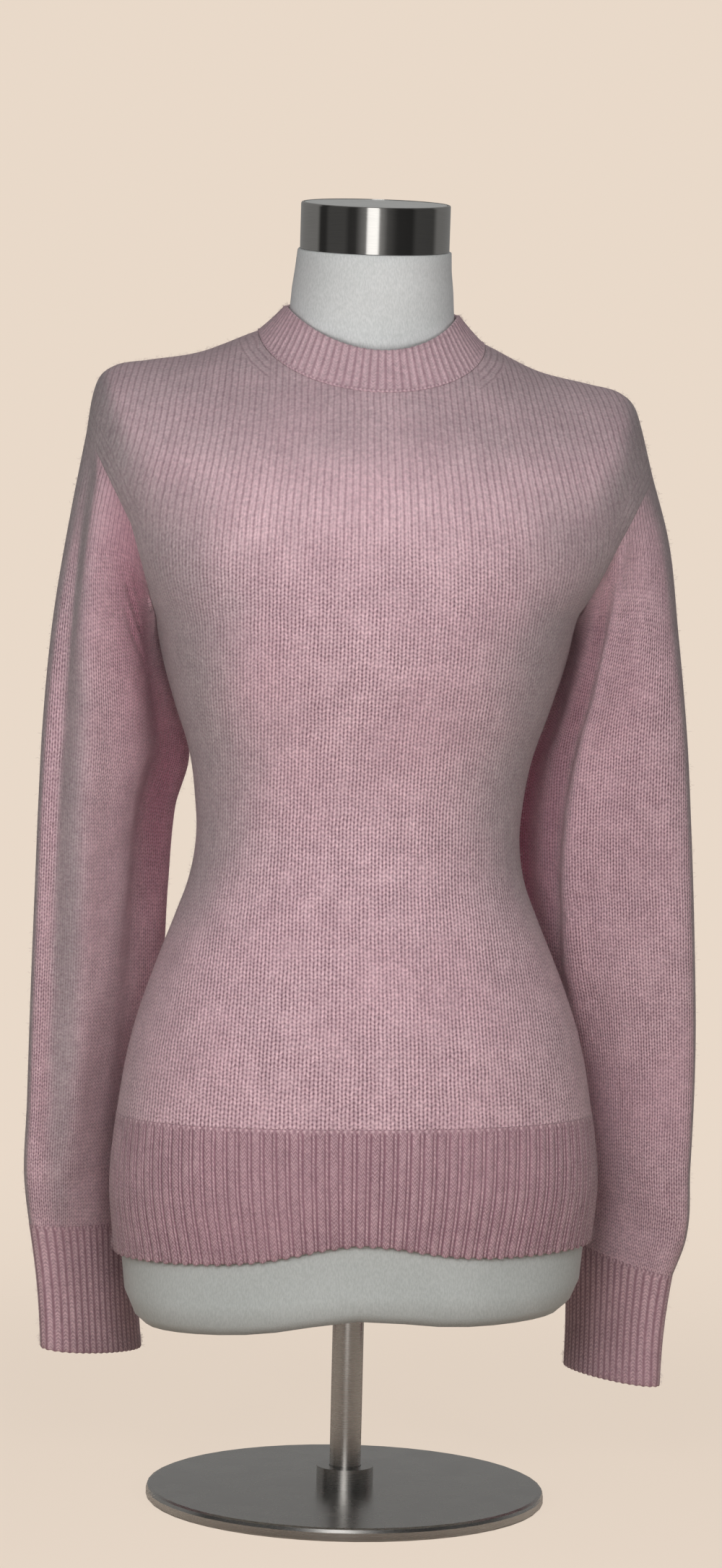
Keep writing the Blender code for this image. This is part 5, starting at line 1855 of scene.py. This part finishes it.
@dataclass
class Neckband:
    """The ribbed neckband, linked to the neckline all round."""

    panels: Panels
    width: float = 0.0627
    front: float = 0.0660
    back: float = 0.0630
    axis_x: float = 0.0015
    right_draw: float = 0.0035
    top_front: float = 0.8030
    top_side: float = 0.8335
    top_back: float = 0.8460
    bulge: float = -0.0004
    dip: float = 1.6
    gap: float = 0.0006
    ribs: int = 84
    columns: int = 672
    rows: int = 30
    depth: float = 0.0006
    course: float = 0.0026
    rib_round: float = 0.6
    bunching: float = 1.35  # how much closer its rows lie at the seam
    link_bumps: float = 0.0009
    link_up: float = 0.0014
    link_spread: float = 0.0009
    cut: Cloth = Cloth(0.45, 0.036, 0.0155, "stretched", "front_panel")

    def build(self, rib: Material) -> Array:
        """Makes the neckband.

        Rows run from the neckline up and in to the top edge, an oval that dips at the front and
        back as |cos a|^dip. The ribs stand on it as a raised cosine, and a row of small bumps
        follows the linked seam.

        Args:
            rib: The material.

        Returns:
            The outer grid, for the loose fibres.
        """
        seam = refined_loop(self.panels.neckline_loop(self.panels.outer), self.columns)
        angles = loop_angles(self.columns)
        cos, sin = np.cos(angles), np.sin(angles)
        reach = np.where(cos > 0, self.front, self.back)
        ends = np.where(cos > 0, self.top_front, self.top_back)
        z = self.top_side + (ends - self.top_side) * np.abs(cos) ** self.dip
        half = self.width - self.right_draw * smooth_step(sin)
        top = leaned(np.stack([self.axis_x + half * sin, -reach * cos, z], axis=-1))
        along = np.linspace(0, 1, self.rows + 1)[:, None] ** self.bunching
        grid = seam + (top - seam) * along[..., None]
        out = normals(grid, True, 1.0)
        grid = lifted(grid, self.bulge * np.sin(np.pi * along), out)
        inner = grid - self.panels.body.wall * out

        round_it = lengths_along(grid, 1, closed=True)[0]
        phase = (round_it[:-1] / round_it[-1] * self.ribs)[None, :]
        up = lengths_along(grid, 0)
        relief = self.depth * (raised_cosine(phase) ** self.rib_round - 0.65)
        relief = relief * rising(up, 0.0020, 0.0020)
        links = bell(up - self.link_up, self.link_spread)
        links = links * (0.35 + 0.65 * np.abs(np.sin(2 * np.pi * phase)))
        outer = lifted(grid, relief + self.link_bumps * links, out)
        course = closed_up(up) / self.course
        ribs = np.broadcast_to(np.append(phase[0], self.ribs), course.shape)
        stitches, ends = np.stack([ribs, course], axis=-1), {"round_rows": (-1,), "edges": (FIRST_ROW,)}
        wall = Wall("neckband", outer, inner, True, stitches, **ends, gap=self.gap)
        self.cut.declare(wall.build(rib), "neckband", "pink_rib")
        return outer


@dataclass
class LooseFibres:
    """Fine fibres that stand off the brushed yarn.

    A fibre is two long three-sided pyramids base to base, with a bend between them.
    """

    per_metre: float = 38500.0  # fibres to a square metre
    length: Pair = (0.0016, 0.0050)
    shortness: float = 2.5  # the higher it is, the more of them are short
    first_half: Pair = (0.9, 0.8)  # shares of the normal and of a stray direction
    second_half: Triple = (0.35, 0.6, 0.9)  # the same past the bend, and the share of a curl
    radius: float = 0.00008
    edge_rows: int = 4
    edge_times: int = 7  # how many times over a free edge is strewn again
    seed: int = 7

    def scatter(self, grid: Array, closed: bool, side: float, rng: np.random.Generator) -> Array:
        """Root, bend and tip of fibres over a grid.

        Args:
            grid: Outer points of a piece.
            closed: Whether its rows are closed loops.
            side: Sign that turns its normals outwards.
            rng: The random source.

        Returns:
            Points, fibres by 3 by 3.
        """
        out = normals(grid, closed, side)
        first, second = grid[1:, 1:] - grid[:-1, :-1], grid[1:, :-1] - grid[:-1, 1:]
        areas = np.linalg.norm(np.cross(first, second), axis=-1) / 2
        count = int(areas.sum() * self.per_metre)
        chosen = rng.choice(areas.size, count, p=(areas / areas.sum()).ravel())
        row, column = np.unravel_index(chosen, areas.shape)
        a, b = rng.random((2, count, 1))
        root = (
            grid[row, column] * (1 - a) * (1 - b)
            + grid[row, column + 1] * a * (1 - b)
            + grid[row + 1, column] * (1 - a) * b
            + grid[row + 1, column + 1] * a * b
        )
        normal = out[row, column]
        low, high = self.length
        size = low + (high - low) * rng.random((count, 1)) ** self.shortness
        stray = unit(rng.normal(size=(count, 3)))
        curl = unit(rng.normal(size=(count, 3)))
        up, astray = self.first_half
        bend = root + unit(normal * up + stray * astray) * size * 0.5
        up, astray, curled = self.second_half
        tip = bend + unit(normal * up + stray * astray + curl * curled) * size * 0.5
        return np.stack([root, bend, tip], axis=1)

    def tufted(self, grid: Array, closed: bool, side: float) -> list[tuple[Array, bool, float]]:
        """A grid whose free edge is its last row, and that edge again for its many more fibres."""
        return [(grid, closed, side)] + [(grid[-self.edge_rows :], closed, side)] * self.edge_times

    def build(self, name: str, grids: Sequence[tuple[Array, bool, float]]) -> Piece:
        """Makes one mesh of fibres.

        Args:
            name: The piece's name.
            grids: Outer grids with whether they are closed and their side.

        Returns:
            The object.
        """
        rng = np.random.default_rng(self.seed + len(name))
        lines = np.concatenate([self.scatter(grid, closed, side, rng) for grid, closed, side in grids])
        root, bend, tip = lines[:, 0], lines[:, 1], lines[:, 2]
        along = unit(tip - root)
        across = unit(np.cross(along, unit(rng.normal(size=along.shape))))
        third = np.cross(along, across)
        ring = [
            bend + self.radius * (across * math.cos(a) + third * math.sin(a))
            for a in (0, 2 * math.pi / 3, 4 * math.pi / 3)
        ]
        points = np.stack([root, *ring, tip], axis=1).reshape(-1, 3)
        faces = np.array([(0, 2, 1), (0, 3, 2), (0, 1, 3), (4, 1, 2), (4, 2, 3), (4, 3, 1)])
        loops = (np.arange(len(lines))[:, None, None] * 5 + faces).ravel()
        piece = link_mesh(name, points, loops, np.full(len(lines) * len(faces), 3))
        piece.data.materials.append(LooseFibre().material())
        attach(piece, "root")
        LOG.info("%s: %d fibres", name, len(lines))
        return piece


# ---- The fixed pieces


@dataclass
class SmoothedSolid:
    """A fixed solid shown through a merged copy of its mesh, with smooth sides and crisp edges."""

    node: str
    slot: str
    crisp: float = 40.0  # edges that turn more than this stay sharp, in degrees
    merge: float = 0.00002

    def build(self, frame: dict, look: Material) -> Piece:
        """Copies, merges and dresses the solid.

        Args:
            look: The material.

        Returns:
            The piece.
        """
        work = bmesh.new()
        work.from_mesh(frame["nodes"][self.node].data)
        bmesh.ops.remove_doubles(work, verts=work.verts, dist=self.merge)
        mesh = bpy.data.meshes.new(f"{self.node}_smooth")
        work.to_mesh(mesh)
        work.free()
        mesh.attributes.remove(mesh.attributes["custom_normal"])
        mesh.shade_smooth()
        mesh.set_sharp_from_angle(angle=math.radians(self.crisp))
        mesh.materials.append(look)
        piece = bpy.data.objects.new(f"{self.node}_smooth", mesh)
        bpy.context.scene.collection.objects.link(piece)
        stand_in(piece, self.node, self.slot)
        return piece


# ---- Floor, light and camera


class LampRow(NamedTuple):
    """A soft lamp: where it stands, what it points at, its side and its power in watts."""

    name: str
    place: Triple
    aim: Triple
    size: float
    power: float


LAMPS = (
    LampRow("front_light", (-0.10, -0.85, 0.60), (0.0, 0.0, 0.48), 0.3, 1.72),
    LampRow("low_light", (-0.05, -0.80, 0.46), (0.0, 0.0, 0.34), 0.3, 0.82),
    LampRow("near_left_light", (-0.75, -0.75, 0.46), (-0.02, 0.0, 0.34), 0.3, 0.50),
    LampRow("left_light", (-1.00, -1.50, 0.80), (0.0, 0.0, 0.55), 0.4, 3.88),
    LampRow("right_light", (1.00, -1.50, 0.80), (0.0, 0.0, 0.55), 0.4, 4.24),
    LampRow("top_light", (-0.10, -0.70, 1.50), (0.0, 0.0, 0.75), 0.5, 0.30),
    LampRow("back_light", (0.40, 1.80, 0.80), (0.0, 0.0, 0.50), 0.9, 12.00),
)


class Glow(NamedTuple):
    """How bright the room is, as metal mirrors it, in one direction round the object."""

    degrees: float
    brightness: float


WINDOWS = (
    Glow(-180, 0.240), Glow(-103, 0.240), Glow(-97, 0.035), Glow(-86, 0.035),
    Glow(-80, 0.085), Glow(-52, 0.085), Glow(-44, 0.040), Glow(-34, 0.045),
    Glow(-24, 0.200), Glow(-17, 0.240), Glow(-15, 1.800), Glow(1, 1.900),
    Glow(4, 0.320), Glow(9, 0.260), Glow(16, 0.100), Glow(32, 0.035),
    Glow(56, 0.030), Glow(64, 0.075), Glow(98, 0.070), Glow(108, 0.220),
    Glow(180, 0.240),
)


@dataclass
class Studio:
    """A pale floor, soft light from the front, and the camera."""

    backdrop: Colour = (0.813, 0.694, 0.584)
    target: Triple = (0.0, 0.0, 0.504)
    distance: float = 3.0
    azimuth: float = -3.0
    camera_height: float = 0.66
    roll: float = 1.35
    lens: float = 98.59
    floor_radius: float = 2.4
    floor_sides: int = 96
    floor_fade: Pair = (0.45, 1.9)
    floor_colour: Colour = (0.70, 0.60, 0.51)
    floor_glow: float = 0.88
    dome: float = 0.34  # strength of the soft light from above

    def floor(self) -> None:
        """A round pale floor that fades into the backdrop."""
        count = self.floor_sides
        angles = loop_angles(count)
        ring = np.stack([np.cos(angles), np.sin(angles), 0 * angles], axis=-1) * self.floor_radius
        piece = link_mesh("floor", ring, np.arange(count), np.array([count]))
        graph = Graph(bpy.data.materials.new("pale_floor"))
        x, y, _ = graph.split(graph.place)
        fade = ((x * x + y * y) ** 0.5).between(*self.floor_fade)
        sockets = {"Color": self.floor_colour, "Roughness": 1.0}
        paint = graph.node("ShaderNodeBsdfDiffuse", {}, sockets)
        glow = graph.node("ShaderNodeEmission", {}, {"Color": self.backdrop, "Strength": 1.0})
        seen = Value(graph, graph.node("ShaderNodeLightPath", {}, {}).outputs["Is Camera Ray"])
        sockets = {0: seen * self.floor_glow, 1: paint.outputs[0], 2: glow.outputs[0]}
        mixed = graph.node("ShaderNodeMixShader", {}, sockets)
        clear = graph.node("ShaderNodeBsdfTransparent", {}, {})
        sockets = {0: fade, 1: mixed.outputs[0], 2: clear.outputs[0]}
        both = graph.node("ShaderNodeMixShader", {}, sockets)
        output = graph.node("ShaderNodeOutputMaterial", {}, {})
        graph.tree.links.new(both.outputs[0], output.inputs["Surface"])
        piece.data.materials.append(graph.owner)

    def surroundings(self) -> None:
        """The room: plain backdrop to look at, soft light all round, and windows that metal mirrors."""
        world = bpy.data.worlds.new("room")
        bpy.context.scene.world = world
        graph = Graph(world)
        path = graph.node("ShaderNodeLightPath", {}, {}).outputs
        x, y, z = graph.split(graph.node("ShaderNodeTexCoord", {}, {}).outputs["Generated"])
        turn = x.turn_to(-1 * y)
        stops = [((a + 180) / 360, (v, v * 0.985, v * 0.96)) for a, v in WINDOWS]
        turns = turn * (1 / (2 * math.pi)) + 0.5
        ramp = graph.node("ShaderNodeValToRGB", {"stops": stops}, {0: turns})
        soft = graph.blend(z.between(0.0, 1.0), (0.02, 0.02, 0.02), (1.0, 1.0, 1.0))
        seen = graph.blend(Value(graph, path["Is Glossy Ray"]), soft, ramp.outputs[0])
        seen = graph.blend(Value(graph, path["Is Camera Ray"]), seen, self.backdrop)
        strength = 1 - Value(graph, path["Is Diffuse Ray"]) * (1 - self.dome)
        back = graph.node("ShaderNodeBackground", {}, {"Color": seen, "Strength": strength})
        output = graph.node("ShaderNodeOutputWorld", {}, {})
        graph.tree.links.new(back.outputs[0], output.inputs["Surface"])

    def lamp(self, row: LampRow) -> None:
        """A soft square lamp that mirrors don't show."""
        light = bpy.data.lights.new(row.name, "AREA")
        light.shape, light.size, light.energy = "SQUARE", row.size, row.power
        lamp = bpy.data.objects.new(row.name, light)
        lamp.location = row.place
        lamp.rotation_euler = (Vector(row.aim) - Vector(row.place)).to_track_quat("-Z", "Y").to_euler()
        lamp.visible_glossy = False
        lamp.visible_camera = False
        bpy.context.scene.collection.objects.link(lamp)

    def camera(self) -> None:
        """The camera, turned a little about its own axis."""
        away = math.radians(self.azimuth)
        x, y = self.distance * math.sin(away), -self.distance * math.cos(away)
        place = Vector((x, y, self.camera_height))
        forward = (Vector(self.target) - place).normalized()
        right = forward.cross(Vector((0, 0, 1))).normalized()
        up = right.cross(forward)
        turn = math.radians(self.roll)
        across = right * math.cos(turn) + up * math.sin(turn)
        upright = up * math.cos(turn) - right * math.sin(turn)
        data = bpy.data.cameras.new("camera")
        data.sensor_width, data.lens = 36.0, self.lens
        camera = bpy.data.objects.new("camera", data)
        camera.matrix_world = Matrix.Translation(place) @ Matrix(
            (across, upright, -forward)
        ).transposed().to_4x4()
        bpy.context.scene.collection.objects.link(camera)
        bpy.context.scene.camera = camera

    def build(self) -> None:
        """Sets up the studio."""
        bpy.context.scene.view_settings.view_transform = "Standard"
        self.floor()
        self.surroundings()
        for lamp in LAMPS:
            self.lamp(lamp)
        self.camera()


def main() -> None:
    """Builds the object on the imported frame, and the studio round it."""
    logging.basicConfig(level=logging.INFO, format="%(message)s")
    for old in list(bpy.data.objects):
        bpy.data.objects.remove(old)
    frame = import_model()

    knit, sleeve_knit = PlainKnit("panel_knit").material(True), PlainKnit("sleeve_knit").material(False)
    rib = RibKnit("neck_rib", relief=(0.0006, 0.5), chevron=0.20, groove=0.42).material(False)
    hem = RibKnit("hem_rib", SHADED_RIB_YARN, chevron=0.62, groove=0.08).material(True)
    cuff_rib = RibKnit("cuff_rib", SHADED_RIB_YARN).material(False)
    body = Body()
    panels = Panels(body)
    panels.shape()
    left = Sleeve(LEFT, panels).build(sleeve_knit, cuff_rib)
    right = Sleeve(RIGHT, panels, wales=86).build(sleeve_knit, cuff_rib)
    front, back = panels.build(knit)
    hem_front, hem_back = HemRib(body).build(hem)
    neckband = Neckband(panels).build(rib)
    fibres = LooseFibres()
    fibres.build("fibres_front", [(front, False, 1.0), *fibres.tufted(hem_front[::-1], False, -1.0)])
    fibres.build("fibres_back", [(back, False, -1.0), *fibres.tufted(hem_back[::-1], False, 1.0)])
    fibres.build("fibres_left_sleeve", [(left[0], True, -1.0), *fibres.tufted(left[1], True, -1.0)])
    fibres.build("fibres_right_sleeve", [(right[0], True, 1.0), *fibres.tufted(right[1], True, 1.0)])
    fibres.build("fibres_neckband", fibres.tufted(neckband, True, 1.0))

    steel, jersey, paint = BrushedSteel().material(), Jersey().material(), MattPaint().material()
    satin = BrushedSteel("satin_steel_finish", roughness=0.22).material()
    SmoothedSolid("form_torso", "form_jersey", crisp=75).build(frame, jersey)
    SmoothedSolid("neck_band", "brushed_steel", crisp=12).build(frame, steel)
    SmoothedSolid("neck_plate", "pale_plate").build(frame, paint)
    SmoothedSolid("stand_pole", "brushed_steel", crisp=12).build(frame, satin)
    SmoothedSolid("stand_foot", "brushed_steel", crisp=12).build(frame, satin)
    Studio().build()


if __name__ == "__main__":
    main()
